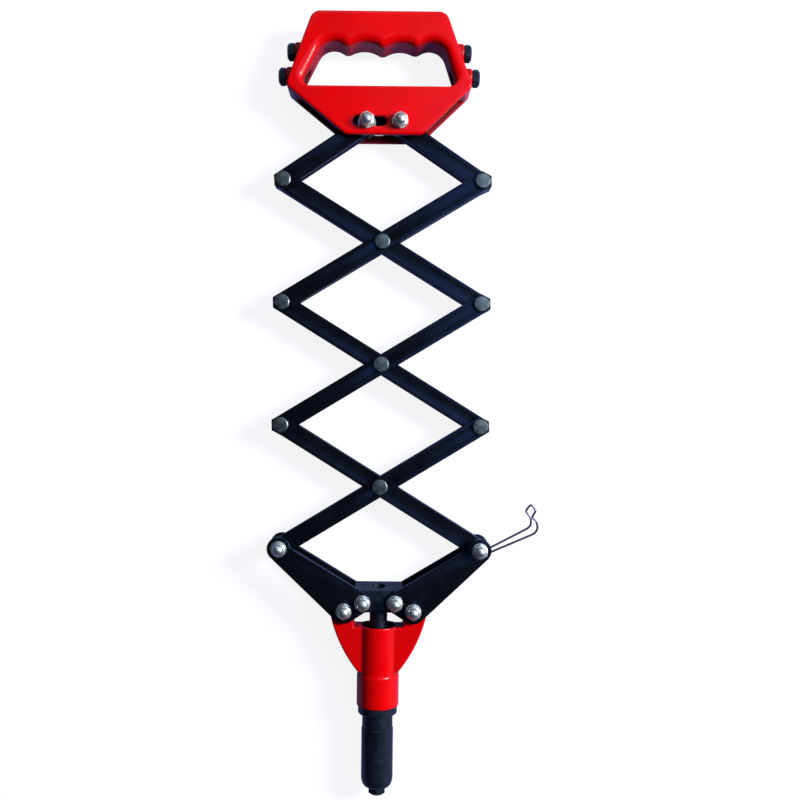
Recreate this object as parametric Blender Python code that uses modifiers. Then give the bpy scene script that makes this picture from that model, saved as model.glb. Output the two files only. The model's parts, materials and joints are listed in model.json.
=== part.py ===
"""Lazy tong riveter lying on its back: nose towards -Y, grip towards +Y, front face up.

The origin is the centre of the nosepiece's tip. All sizes are in metres.
"""

import math

import bmesh
import bpy
from mathutils import Matrix, Vector

# Clearances between pieces
GAP = 0.0003
SLIDE_GAP = 0.0005

# Tong arms, four flat layers deep, rising and falling arms by turns
ARM_PITCH = 0.0775
ARM_ANGLE = math.radians(31.6)
ARM_WIDTH = 0.012
ARM_THICKNESS = 0.003
LAYER_PITCH = ARM_THICKNESS + GAP
STACK_HALF = 2 * LAYER_PITCH - GAP / 2
STAGES = ("lower", "middle", "upper")
RISING_LAYERS = (1, 3)
FALLING_LAYERS = (0, 2)

# Rivets of the tongs
RIVET_RADIUS = 0.0025
RIVET_HEAD_RADIUS = 0.0051
RIVET_HEAD_HEIGHT = 0.002
RIVET_CHAMFER = 0.0005

# Links between the tongs and the grip
LINK_RISE = 0.0373686
GRIP_BOLT_SPREAD = 0.011

# Bolts, washers and dome nuts
BOLT_RADIUS = 0.003
BOLT_HOLE_RADIUS = BOLT_RADIUS + GAP
BOLT_HEAD_FLATS = 0.010
BOLT_HEAD_HEIGHT = 0.004
WASHER_RADIUS = 0.0053
WASHER_THICKNESS = 0.001
NUT_FLATS = 0.010
NUT_HEX_HEIGHT = 0.004
NUT_DOME_HEIGHT = 0.003
NUT_DOME_RADIUS = 0.0038
NUT_BORE_DEPTH = 0.0046
NUT_DOME_ANGLES = tuple(math.radians(step) for step in (65, 40, 15))
SPACER_RADIUS = 0.006
LOOSE_HOLE_RADIUS = 0.0050

# Lever plates, each a bell crank on a pivot in the body
PIVOT_SPREAD = 0.0228
PIVOT_Y = 0.1239
LEVER_RISE = 0.0403
PULL_RADIUS = 0.0133
PULL_ANGLE = math.radians(24.0)
LEVER_THICKNESS = 0.003
LEVER_PIVOT_LOBE = 0.0083
LEVER_END_LOBE = 0.0079
LEVER_END_NECK = 0.0048
LEVER_PULL_LOBE = 0.0062

# Puller's stem and the jaw case on it, which the tube and the nose sleeve fit round
STEM_RADIUS = 0.0052
JAW_CASE_RADIUS = STEM_RADIUS + 0.0024
JAW_CASE_WALL = 0.0018
SPIGOT_WALL = 0.001
SLEEVE_BORE_RADIUS = JAW_CASE_RADIUS + GAP
SPIGOT_RADIUS = SLEEVE_BORE_RADIUS + SPIGOT_WALL
TUBE_BORE_RADIUS = SPIGOT_RADIUS + GAP

# Body casting: a tube between two wings, with a notch for the puller
BODY_HALF_DEPTH = 0.0087
TUBE_WALL = 0.0043
TUBE_RADIUS = TUBE_BORE_RADIUS + TUBE_WALL
TUBE_COLLAR_STEP = 0.0005
TUBE_MOUTH_WALL = 0.0022
TUBE_MOUTH_DEPTH = 0.020
TUBE_COLLAR_RADIUS = TUBE_RADIUS + TUBE_COLLAR_STEP
TUBE_COLLAR_TOP_Y = 0.0803
TUBE_END_Y = 0.0595
NOTCH_DEPTH = 0.0113
NOTCH_WALL = 0.0032
NOTCH_HALF_WIDTH = PIVOT_SPREAD - BOLT_HOLE_RADIUS - NOTCH_WALL
TUBE_TOP_Y = PIVOT_Y - NOTCH_DEPTH
WING_LOBE_SHIFT = 0.0015
WING_LOBE_RADIUS = PIVOT_SPREAD + WING_LOBE_SHIFT - NOTCH_HALF_WIDTH
WING_FOOT_Y = 0.0828
WING_BOW = 0.0027
WING_EDGE = 0.001
WING_CROWN_START = math.radians(-10)

# Nose sleeve, locking collar and nosepieces
COLLAR_WALL = 0.0038
COLLAR_RADIUS = TUBE_BORE_RADIUS + COLLAR_WALL
COLLAR_THICKNESS = 0.0051
SLEEVE_SIDE_WALL = 0.00265
SLEEVE_RADIUS = SLEEVE_BORE_RADIUS + SLEEVE_SIDE_WALL
SLEEVE_TAPER = 0.00375
SLEEVE_TAPER_LENGTH = 0.0066
SLEEVE_TIP_RADIUS = SLEEVE_RADIUS - SLEEVE_TAPER
SLEEVE_FLAT_DEPTH = 0.00105
SLEEVE_MIDDLE_RADIUS = SLEEVE_RADIUS - SLEEVE_FLAT_DEPTH
SLEEVE_WALL = 0.007
SLEEVE_SPIGOT_LENGTH = 0.012
SLEEVE_NECK_LENGTH = 0.0098
SLEEVE_STEP = 0.0004
SLEEVE_FLAT_LENGTH = 0.0172
SLEEVE_FLAT_TURN = math.radians(-24)
NOSEPIECE_FLATS = 0.0108
NOSEPIECE_HEAD = 0.0048
NOSEPIECE_CHAMFER = 0.0016
NOSEPIECE_TIP_RADIUS = 0.0042
NOSEPIECE_STEM_RADIUS = 0.0040
NOSEPIECE_STEM_LENGTH = 0.006
FITTED_BORE_RADIUS = 0.0013
SPARE_BORE_RADII = (0.0015, 0.0018, 0.0021, 0.0024)

# Puller head with its threaded stem, and the jaws that it draws
BLOCK_HALF_WIDTH = NOTCH_HALF_WIDTH - SLIDE_GAP
BLOCK_BOTTOM = -0.0015
BLOCK_TOP = 0.0160
BLOCK_EDGE = 0.0008
SLOT_PLAY = 0.00055
SLOT_HALF_HEIGHT = BOLT_RADIUS + SLOT_PLAY
PIN_RUN_IN = 0.0019
MANDREL_RADIUS = 0.0025
MANDREL_MOUTH_RADIUS = 0.004
STEM_END_Y = 0.064
STEM_NECK_STEP = 0.0007
STEM_NECK_END_Y = 0.096
JAW_CASE_TRAVEL = 0.0043
JAW_CASE_LENGTH = 0.055
JAW_CASE_MOUTH_RADIUS = 0.0036
JAW_CONE_LENGTH = 0.0145
JAW_LENGTH = 0.0125
JAW_BORE_RADIUS = 0.0012
JAW_SPLIT = 0.0008
JAW_COUNT = 3
PUSHER_LENGTH = 0.008
PUSHER_FLANGE = 0.002
SPRING_WIRE_RADIUS = 0.0005
SPRING_RADIUS = STEM_RADIUS - 0.0008
SPRING_TURNS = 7
SPRING_POINTS = 8

# Grip casting, with a clevis below its finger opening
GRIP_HALF_DEPTH = 0.013
GRIP_SHIFT = -0.0032
GRIP_TOP = 0.0723
GRIP_TOP_HALF_WIDTH = 0.0440
GRIP_WIDE = 0.0235
GRIP_WIDE_HALF_WIDTH = 0.0615
GRIP_BOTTOM = -0.0087
GRIP_BOTTOM_HALF_WIDTH = 0.0252
GRIP_CORNERS = (0.006, 0.006, 0.004, 0.007, 0.007, 0.004)
GRIP_EDGE = 0.0013
GRIP_CLEVIS_TOP = 0.0135
GRIP_SLOT_OUTWARDS = 0.009
GRIP_SLOT_INWARDS = 0.0133
GRIP_SLOT_LOW = -GRIP_BOLT_SPREAD - GRIP_SHIFT - GRIP_SLOT_OUTWARDS
GRIP_SLOT_HIGH = -GRIP_BOLT_SPREAD - GRIP_SHIFT + GRIP_SLOT_INWARDS
GRIP_SLOT_HALF_HEIGHT = BOLT_HOLE_RADIUS
OPENING_LOW = 0.0235
GRIP_SIDE_WALL = 0.012
OPENING_HALF_WIDTH = GRIP_WIDE_HALF_WIDTH - GRIP_SIDE_WALL
OPENING_CORNER = 0.004
OPENING_FLARE = 0.0035
FINGER_SHARES = (0.675, 0.277, -0.204, -0.616)
FINGER_HEIGHTS = (0.0420, 0.0350, 0.0350, 0.0420)
FINGER_RADII = (0.0110, 0.0175, 0.0178, 0.0110)
FINGER_BLEND = 0.0050
BOSS_RADIUS = 0.0064
BOSS_HEIGHTS = (0.0325, 0.0490)
BOSS_STANDS = (0.0035, 0.0038)
BOSS_DEPTH = 0.010
BOSS_THROUGH = 0.0065
BOSS_HOLE_DEPTHS = (GRIP_SIDE_WALL + BOSS_THROUGH, 0.009)
BOSS_HOLE_RADIUS = NOSEPIECE_STEM_RADIUS + GAP

# Wire latch on the right lever's end bolt
LATCH_WIRE_RADIUS = 0.0008
LATCH_EYE_RADIUS = BOLT_RADIUS + LATCH_WIRE_RADIUS + GAP
LATCH_EYE_START = math.radians(25)
LATCH_LOWER_STRAND = math.radians(24.8)
LATCH_HOOK = (
    (0.0343, 0.0104), (0.0366, 0.0119), (0.0380, 0.0140), (0.0382, 0.0165), (0.0373, 0.0195),
    (0.0356, 0.0214), (0.0358, 0.0233), (0.0371, 0.0264), (0.0339, 0.0300), (0.0308, 0.0263),
    (0.0322, 0.0239), (0.0334, 0.0222), (0.0340, 0.0203), (0.0339, 0.0174), (0.0326, 0.0155),
    (0.0301, 0.0138),
)
LATCH_ROOT = ((0.0056, 0.0009), (0.0047, 0.0007))

# How round the round pieces are
ROUND_STEPS = 24
PIN_STEPS = 12
HOLE_STEPS = 12
LOBE_STEPS = 24
FINGER_STEPS = 8
EYE_STEPS = 10
WING_STEPS = 6
CORNER_STEPS = 4
RIM_STEPS = 2
SMOOTH_ANGLE = math.radians(35)
BEVEL_ANGLE = math.radians(50)
WELD_DISTANCE = 0.000002

# Finishes: sRGB colour as written in a paint chart, roughness and metallic value
DISPLAY_GAMMA = 2.2
RED_ENAMEL = ((0.80, 0.02, 0.02), 0.25, 0.0)
BLACK_OXIDE = ((0.045, 0.045, 0.055), 0.45, 0.6)
ZINC_PLATE = ((0.62, 0.62, 0.63), 0.28, 1.0)
RIVET_STEEL = ((0.36, 0.38, 0.42), 0.35, 1.0)
SPRING_STEEL = ((0.25, 0.24, 0.23), 0.35, 1.0)

# Places worked out from the sizes above
FRONT_Z = BODY_HALF_DEPTH + GAP + LEVER_THICKNESS
REST_Z = -(FRONT_Z + GAP + BOLT_HEAD_HEIGHT)
GRIP_BOLT_HEAD_HEIGHT = -REST_Z - GRIP_HALF_DEPTH - GAP
LEVER_END_X = ARM_PITCH * math.cos(ARM_ANGLE)
LEVER_END_Y = PIVOT_Y + LEVER_RISE
STAGE_RISE = 2 * ARM_PITCH * math.sin(ARM_ANGLE)
LINK_PITCH = math.hypot(LEVER_END_X - GRIP_BOLT_SPREAD, LINK_RISE)
LINK_ANGLE = math.asin(LINK_RISE / LINK_PITCH)
GRIP_Y = LEVER_END_Y + len(STAGES) * STAGE_RISE + LINK_RISE
PULL_X = PIVOT_SPREAD - PULL_RADIUS * math.cos(PULL_ANGLE)
PULL_Y = PIVOT_Y + PULL_RADIUS * math.sin(PULL_ANGLE)
SLOT_ROOT_X = PULL_X - BOLT_RADIUS - PIN_RUN_IN
COLLAR_Y = TUBE_END_Y - GAP
SLEEVE_SHOULDER_Y = COLLAR_Y - COLLAR_THICKNESS - GAP
SLEEVE_STEP_Y = SLEEVE_SHOULDER_Y - SLEEVE_NECK_LENGTH
SLEEVE_END_Y = NOSEPIECE_HEAD + GAP
SLEEVE_WALL_Y = SLEEVE_END_Y + SLEEVE_WALL
JAW_CASE_FRONT_Y = SLEEVE_WALL_Y + JAW_CASE_TRAVEL + GAP

# The collections for the object and for its cutters, filled in by start_scene
COLLECTIONS = {}


def start_scene():
    """Empty the scene and make its two collections."""
    for item in list(bpy.data.objects):
        bpy.data.objects.remove(item, do_unlink=True)
    for name in ("lazy_tong_riveter", "cutters"):
        collection = bpy.data.collections.new(name)
        bpy.context.scene.collection.children.link(collection)
        COLLECTIONS[name] = collection


def place(item, collection="lazy_tong_riveter"):
    """Link an object into one of the two collections."""
    COLLECTIONS[collection].objects.link(item)
    return item


def dress(item, finish):
    """Give an object its own material and smooth shading up to its sharp corners."""
    colour, roughness, metallic = finish
    material = bpy.data.materials.new(item.name)
    material.use_nodes = True
    shader = material.node_tree.nodes["Principled BSDF"]
    linear = [channel**DISPLAY_GAMMA for channel in colour]
    shader.inputs["Base Color"].default_value = (*linear, 1.0)
    shader.inputs["Roughness"].default_value = roughness
    shader.inputs["Metallic"].default_value = metallic
    item.data.materials.clear()
    item.data.materials.append(material)
    if item.type == "MESH":
        item.data.shade_smooth()
        item.data.set_sharp_from_angle(angle=SMOOTH_ANGLE)
    return item


def joint_axis(name, x, y, parent=None):
    """An empty that stands on a joint's axis, which carries the pieces of one body."""
    empty = place(bpy.data.objects.new(name, None))
    empty.empty_display_size = RIVET_HEAD_RADIUS
    empty.matrix_world = Matrix.Translation((x, y, 0))
    if parent is not None:
        empty.parent = parent
        empty.matrix_parent_inverse = parent.matrix_world.inverted()
    bpy.context.view_layer.update()
    return empty


def carry(item, body):
    """Parent an object to a body's empty and leave it where it is."""
    bpy.context.view_layer.update()
    item.parent = body
    item.matrix_parent_inverse = body.matrix_world.inverted()
    return item


def mesh_object(name, build, collection="lazy_tong_riveter"):
    """An object whose mesh is filled in by a function that gets an empty bmesh."""
    mesh = bpy.data.meshes.new(name)
    shape = bmesh.new()
    build(shape)
    shape.to_mesh(mesh)
    shape.free()
    return place(bpy.data.objects.new(name, mesh), collection)


def baked(item):
    """The mesh of an object with its modifiers, welded; the object itself goes."""
    bpy.context.view_layer.update()
    evaluated = item.evaluated_get(bpy.context.evaluated_depsgraph_get())
    mesh = bpy.data.meshes.new_from_object(evaluated)
    shape = bmesh.new()
    shape.from_mesh(mesh)
    shape.transform(item.matrix_world)
    bmesh.ops.remove_doubles(shape, verts=shape.verts, dist=WELD_DISTANCE)
    bmesh.ops.recalc_face_normals(shape, faces=shape.faces)
    shape.to_mesh(mesh)
    shape.free()
    bpy.data.objects.remove(item, do_unlink=True)
    return mesh


def stand(name, mesh, x, y, finish, body):
    """An object with its own copy of a mesh, which stands at a place and rides on a body."""
    item = place(bpy.data.objects.new(name, mesh.copy()))
    item.location = (x, y, 0.0)
    return carry(dress(item, finish), body)


def combine(target, other, operation):
    """Boolean one object with another, which becomes a hidden guide."""
    modifier = target.modifiers.new(operation.lower(), "BOOLEAN")
    modifier.operation = operation
    modifier.object = other
    modifier.solver = "EXACT"
    other.hide_render = True
    other.display_type = "WIRE"
    return target


def bevel(item, width, segments=1):
    """Round an object's sharp edges."""
    modifier = item.modifiers.new("edges", "BEVEL")
    modifier.width = width
    modifier.segments = segments
    modifier.limit_method = "ANGLE"
    modifier.angle_limit = BEVEL_ANGLE
    return item


def arc(x, y, radius, start, end, steps):
    """Points on an arc from one angle to another."""
    turn = (end - start) / steps
    return [
        (x + radius * math.cos(start + turn * i), y + radius * math.sin(start + turn * i))
        for i in range(steps + 1)
    ]


def circle(x, y, radius, steps=HOLE_STEPS):
    """A closed ring of points."""
    return arc(x, y, radius, 0.0, 2 * math.pi, steps)[:-1]


def rounded(corners, radii, steps=CORNER_STEPS):
    """A closed outline, anticlockwise, with each convex or hollow corner rounded."""
    outline = []
    count = len(corners)
    for i, (corner, radius) in enumerate(zip(corners, radii)):
        here = Vector(corner)
        back = (Vector(corners[i - 1]) - here).normalized()
        ahead = (Vector(corners[(i + 1) % count]) - here).normalized()
        half = back.angle(ahead) / 2
        if radius <= 0:
            outline.append(corner)
            continue
        middle = here + (back + ahead).normalized() * radius / math.sin(half)
        reach = radius / math.tan(half)
        first = here + back * reach - middle
        last = here + ahead * reach - middle
        start = math.atan2(first.y, first.x)
        sweep = math.atan2(first.cross(last), first.dot(last))
        outline += arc(middle.x, middle.y, radius, start, start + sweep, steps)
    return outline


def plate(name, outlines, low, high, edge=0.0, collection="lazy_tong_riveter"):
    """A flat plate between two heights: the first outline with the others as holes in it."""
    curve = bpy.data.curves.new(name, "CURVE")
    curve.dimensions = "2D"
    curve.fill_mode = "BOTH"
    curve.extrude = (high - low) / 2 - edge
    curve.bevel_depth = edge
    curve.bevel_resolution = 1
    curve.offset = -edge
    for points in [outlines[0]] + [hole[::-1] for hole in outlines[1:]]:
        spline = curve.splines.new("POLY")
        spline.points.add(len(points) - 1)
        for point, (x, y) in zip(spline.points, points):
            point.co = (x, y, 0.0, 1.0)
        spline.use_cyclic_u = True
    drawn = place(bpy.data.objects.new(name + "_outline", curve), collection)
    drawn.location.z = (low + high) / 2
    return place(bpy.data.objects.new(name, baked(drawn)), collection)


def turned(name, profile, closed=False, steps=PIN_STEPS, collection="lazy_tong_riveter"):
    """A piece turned about Z from (radius, height) points that run down its outer side."""

    def build(shape):
        points = [shape.verts.new((radius, 0.0, height)) for radius, height in profile]
        pairs = list(zip(points, points[1:]))
        if closed:
            pairs.append((points[-1], points[0]))
        for pair in pairs:
            shape.edges.new(pair)

    item = mesh_object(name, build, collection)
    screw = item.modifiers.new("turn", "SCREW")
    screw.axis = "Z"
    screw.steps = steps
    screw.render_steps = steps
    screw.use_merge_vertices = True
    screw.merge_threshold = WELD_DISTANCE
    return item


def ring(name, inner, outer, low, high, steps=PIN_STEPS, collection="lazy_tong_riveter"):
    """A plain ring about Z."""
    profile = [(outer, high), (outer, low), (inner, low), (inner, high)]
    return turned(name, profile, closed=True, steps=steps, collection=collection)


def prism(name, flats, low, high, sides=6, collection="lazy_tong_riveter"):
    """A prism about Z with its size across flats."""
    radius = flats / 2 / math.cos(math.pi / sides)

    def build(shape):
        bmesh.ops.create_cone(
            shape, cap_ends=True, segments=sides, radius1=radius, radius2=radius, depth=high - low
        )
        bmesh.ops.translate(shape, vec=(0, 0, (low + high) / 2), verts=shape.verts)

    return mesh_object(name, build, collection)


def box(name, low, high, collection="lazy_tong_riveter"):
    """A box between two corners."""
    size = [b - a for a, b in zip(low, high)]
    middle = [(a + b) / 2 for a, b in zip(low, high)]

    def build(shape):
        bmesh.ops.create_cube(shape, size=1.0)
        bmesh.ops.scale(shape, vec=size, verts=shape.verts)
        bmesh.ops.translate(shape, vec=middle, verts=shape.verts)

    return mesh_object(name, build, collection)


def along_y(item):
    """Turn an object that was made about Z so that its axis runs along Y."""
    item.rotation_euler = (-math.pi / 2, 0, 0)
    bpy.context.view_layer.update()
    return item


def layer(index):
    """The lower and upper height of one of the four layers of arms."""
    low = (index - 2) * LAYER_PITCH + GAP / 2
    return low, low + ARM_THICKNESS


def side_x(side):
    """The X of a tong end on the left (-1) or the right (1)."""
    return side * LEVER_END_X


def node_y(stage):
    """The height of the side rivets below a stage; stage 0 starts at the levers' ends."""
    return LEVER_END_Y + stage * STAGE_RISE


def bar_outline(half_length, holes):
    """A flat bar along X with half-hexagon ends, and its holes as (x, radius) pairs."""
    half = ARM_WIDTH / 2
    shoulder = half_length + half * math.tan(math.radians(30))
    point = half_length + half / math.cos(math.radians(30))
    outline = [
        (point, 0.0), (shoulder, half), (-shoulder, half),
        (-point, 0.0), (-shoulder, -half), (shoulder, -half),
    ]
    return [outline] + [circle(x, 0.0, radius) for x, radius in holes]


def make_bar(name, half_length, holes, index, middle, angle):
    """One bar of the tongs, in one of the layers, turned about Z at its middle."""
    bar = plate(name, bar_outline(half_length, holes), *layer(index))
    bar.location = (*middle, 0.0)
    bar.rotation_euler = (0, 0, angle)
    return dress(bar, BLACK_OXIDE)


def make_arms(bodies):
    """The full arms of every stage: a front and a rear bar for each rising and falling arm."""
    rivet_hole = RIVET_RADIUS + GAP
    for stage, stage_name in enumerate(STAGES):
        middle = (0.0, node_y(stage) + STAGE_RISE / 2)
        for kind, layers, sign in (("rising", RISING_LAYERS, 1), ("falling", FALLING_LAYERS, -1)):
            low_hole = rivet_hole
            if stage == 0:
                low_hole = BOLT_HOLE_RADIUS if kind == "rising" else LOOSE_HOLE_RADIUS
            low_end = -sign * ARM_PITCH
            holes = [(low_end, low_hole), (0.0, rivet_hole), (-low_end, rivet_hole)]
            for index, face in zip(layers, ("rear", "front")):
                name = f"{stage_name}_{kind}_arm_{face}"
                angle = sign * ARM_ANGLE
                arm = make_bar(name, ARM_PITCH, holes, index, middle, angle)
                carry(arm, bodies[f"{stage_name}_{kind}"])


def make_links(bodies):
    """The shorter links from the top side rivets to the grip's bolts."""
    rivet_hole = RIVET_RADIUS + GAP
    for side, name, layers in ((-1, "left", RISING_LAYERS), (1, "right", FALLING_LAYERS)):
        foot = Vector((side_x(side), node_y(len(STAGES))))
        head = Vector((side * GRIP_BOLT_SPREAD, GRIP_Y))
        middle = (foot + head) / 2
        holes = [(side * LINK_PITCH / 2, rivet_hole), (-side * LINK_PITCH / 2, BOLT_HOLE_RADIUS)]
        for index, face in zip(layers, ("rear", "front")):
            bar_name = f"grip_link_{name}_{face}"
            bar = make_bar(bar_name, LINK_PITCH / 2, holes, index, middle, -side * LINK_ANGLE)
            carry(bar, bodies[f"link_{name}"])


def make_rivets(bodies):
    """Flat-headed rivets, in one group for each arm that carries them."""
    seat = STACK_HALF + GAP
    top = seat + RIVET_HEAD_HEIGHT
    rim = RIVET_HEAD_RADIUS - RIVET_CHAMFER
    profile = [
        (0.0, top), (rim, top), (RIVET_HEAD_RADIUS, top - RIVET_CHAMFER),
        (RIVET_HEAD_RADIUS, seat), (RIVET_RADIUS, seat), (RIVET_RADIUS, -seat),
        (RIVET_HEAD_RADIUS, -seat), (RIVET_HEAD_RADIUS, -top + RIVET_CHAMFER), (rim, -top),
        (0.0, -top),
    ]
    mesh = baked(turned("rivet", profile))
    for stage, stage_name in enumerate(STAGES):
        rising = bodies[f"{stage_name}_rising"]
        falling = bodies[f"{stage_name}_falling"]
        centre_y = node_y(stage) + STAGE_RISE / 2
        end_y = node_y(stage + 1)
        stand(f"{stage_name}_centre_rivet", mesh, 0.0, centre_y, RIVET_STEEL, rising)
        stand(f"{stage_name}_right_rivet", mesh, side_x(1), end_y, RIVET_STEEL, rising)
        stand(f"{stage_name}_left_rivet", mesh, side_x(-1), end_y, RIVET_STEEL, falling)


def collar_points(collars):
    """Profile points of the spacer collars on a bolt, from the top one down."""
    points = []
    for low, high in sorted(collars, reverse=True):
        points += [(BOLT_RADIUS, high), (SPACER_RADIUS, high), (SPACER_RADIUS, low),
                   (BOLT_RADIUS, low)]
    return points


def bolt_mesh(tip, head_height, collars):
    """A hexagon bolt that stands head down on the rest plane, with its spacer collars."""
    seat = REST_Z + head_height
    profile = [(0.0, tip), (BOLT_RADIUS - RIVET_CHAMFER, tip), (BOLT_RADIUS, tip - RIVET_CHAMFER)]
    profile += collar_points(collars)
    profile += [(BOLT_RADIUS, seat - head_height / 2), (0.0, seat - head_height / 2)]
    head = prism("head", BOLT_HEAD_FLATS, REST_Z, seat, collection="cutters")
    return fused([turned("shank", profile), head])


def fused(items):
    """The mesh of several overlapping objects joined into one body, with the objects gone."""
    for other in items[1:]:
        combine(items[0], other, "UNION")
    mesh = baked(items[0])
    for other in items[1:]:
        bpy.data.objects.remove(other, do_unlink=True)
    return mesh


def nut_shapes(front):
    """A washer, a hexagon and a dome that overlap in one nut above a front face."""
    low = front + GAP
    hex_low = low + WASHER_THICKNESS
    hex_top = hex_low + NUT_HEX_HEIGHT
    dome_top = hex_top + NUT_DOME_HEIGHT
    dome = [
        (NUT_DOME_RADIUS * math.cos(a), hex_top + NUT_DOME_HEIGHT * math.sin(a))
        for a in NUT_DOME_ANGLES
    ]
    body = turned("nut", [(0.0, dome_top)] + dome + [
        (NUT_DOME_RADIUS, hex_top - GAP), (NUT_DOME_RADIUS, hex_low + GAP), (0.0, hex_low + GAP),
    ])
    washer = turned("washer", [
        (0.0, hex_low + GAP), (NUT_FLATS / 2, hex_low + GAP), (WASHER_RADIUS, hex_low),
        (WASHER_RADIUS, low), (0.0, low),
    ], collection="cutters")
    hexagon = prism("hexagon", NUT_FLATS, hex_low, hex_top, collection="cutters")
    return [body, washer, hexagon]


def dome_nut_mesh(front):
    """A dome nut with its washer and a blind hole, which stands on a front face."""
    solid = place(bpy.data.objects.new("solid", fused(nut_shapes(front))))
    bore_top = front + GAP + WASHER_THICKNESS + NUT_BORE_DEPTH
    bore = turned("bore", [
        (0.0, bore_top), (BOLT_HOLE_RADIUS, bore_top), (BOLT_HOLE_RADIUS, front), (0.0, front),
    ], collection="cutters")
    mesh = baked(combine(solid, bore, "DIFFERENCE"))
    bpy.data.objects.remove(bore, do_unlink=True)
    return mesh


def make_bolt_and_nut(name, x, y, body, front, head_height=BOLT_HEAD_HEIGHT, collars=()):
    """A bolt from the back, with its spacer collars, and its dome nut on the front."""
    tip = front + WASHER_THICKNESS + NUT_BORE_DEPTH
    stand(name + "_bolt", bolt_mesh(tip, head_height, collars), x, y, ZINC_PLATE, body)
    stand(name + "_dome_nut", dome_nut_mesh(front), x, y, ZINC_PLATE, body)


def make_pull_pin(name, x, y, body):
    """A levers' pin in the puller's side slot, with its head and dome nut made fast to it."""
    shank = bolt_mesh(FRONT_Z + WASHER_THICKNESS + NUT_BORE_DEPTH, BOLT_HEAD_HEIGHT, ())
    shapes = nut_shapes(FRONT_Z)
    pin = place(bpy.data.objects.new("pin", shank))
    stand(name, fused([pin] + shapes), x, y, ZINC_PLATE, body)


def spacer_heights(layers, latch_room=0.0):
    """The collars that fill what an arm leaves free of a bolt between two plates."""
    top = BODY_HALF_DEPTH
    filled = [height for index in layers for height in layer(index)]
    stops = [-top - GAP] + filled + [top + GAP - latch_room]
    return [(low + GAP, high - GAP) for low, high in zip(stops[0::2], stops[1::2])]


def tangent_normal(first, first_radius, second, second_radius, side):
    """The angle of the normal of a line that touches two circles on one side."""
    span = Vector(second) - Vector(first)
    lean = math.acos((first_radius - second_radius) / span.length)
    return math.atan2(span.y, span.x) + side * lean


def lever_outline():
    """The left lever's outline, anticlockwise, with its pivot at the origin."""
    end = (PIVOT_SPREAD - LEVER_END_X, LEVER_RISE)
    pull = (PULL_RADIUS * math.cos(PULL_ANGLE), PULL_RADIUS * math.sin(PULL_ANGLE))
    outer = tangent_normal(end, LEVER_END_LOBE, (0, 0), LEVER_PIVOT_LOBE, -1)
    inner = tangent_normal((0, 0), LEVER_PIVOT_LOBE, pull, LEVER_PULL_LOBE, -1)
    upper = tangent_normal(end, LEVER_END_NECK, pull, LEVER_PULL_LOBE, 1)
    neck = math.acos(LEVER_END_NECK / LEVER_END_LOBE)
    outline = arc(0, 0, LEVER_PIVOT_LOBE, outer, inner, LOBE_STEPS // 3)
    outline += arc(*pull, LEVER_PULL_LOBE, inner, upper, LOBE_STEPS // 3)
    outline += arc(*end, LEVER_END_LOBE, upper - neck, outer + 2 * math.pi, LOBE_STEPS // 2)
    holes = [circle(0, 0, BOLT_HOLE_RADIUS), circle(*end, BOLT_HOLE_RADIUS),
             circle(*pull, BOLT_HOLE_RADIUS)]
    return [outline] + holes


def make_levers(bodies):
    """Four lever plates, two on each side of the body, with their bolts and spacers."""
    outlines = lever_outline()
    seat = BODY_HALF_DEPTH + GAP
    for side, name in ((-1, "left"), (1, "right")):
        body = bodies[f"lever_{name}"]
        drawn = [[(-side * x, y) for x, y in points] for points in outlines]
        for face, low in (("front", seat), ("rear", -seat - LEVER_THICKNESS)):
            lever = plate(f"lever_{name}_{face}", drawn, low, low + LEVER_THICKNESS)
            lever.location = (side * PIVOT_SPREAD, PIVOT_Y, 0.0)
            carry(dress(lever, BLACK_OXIDE), body)
        make_pull_pin(f"lever_{name}_pull_pin", side * PULL_X, PULL_Y, body)
        layers = RISING_LAYERS if side < 0 else FALLING_LAYERS
        room = 0.0 if side < 0 else 2 * LATCH_WIRE_RADIUS + GAP
        make_bolt_and_nut(f"lever_{name}_end", side_x(side), LEVER_END_Y, body, FRONT_Z,
                          collars=spacer_heights(layers, room))


def wing_edge(foot, top, bow, steps):
    """A slightly bowed edge between two points, as an arc that bulges away from the tube."""
    start, end = Vector(foot), Vector(top)
    chord = end - start
    radius = (chord.length**2 / 4 + bow**2) / (2 * bow)
    middle = (start + end) / 2 + chord.orthogonal().normalized() * (radius - bow)
    first, last = start - middle, end - middle
    begin = math.atan2(first.y, first.x)
    sweep = math.atan2(first.cross(last), first.dot(last))
    return arc(middle.x, middle.y, radius, begin, begin + sweep, steps)


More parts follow.
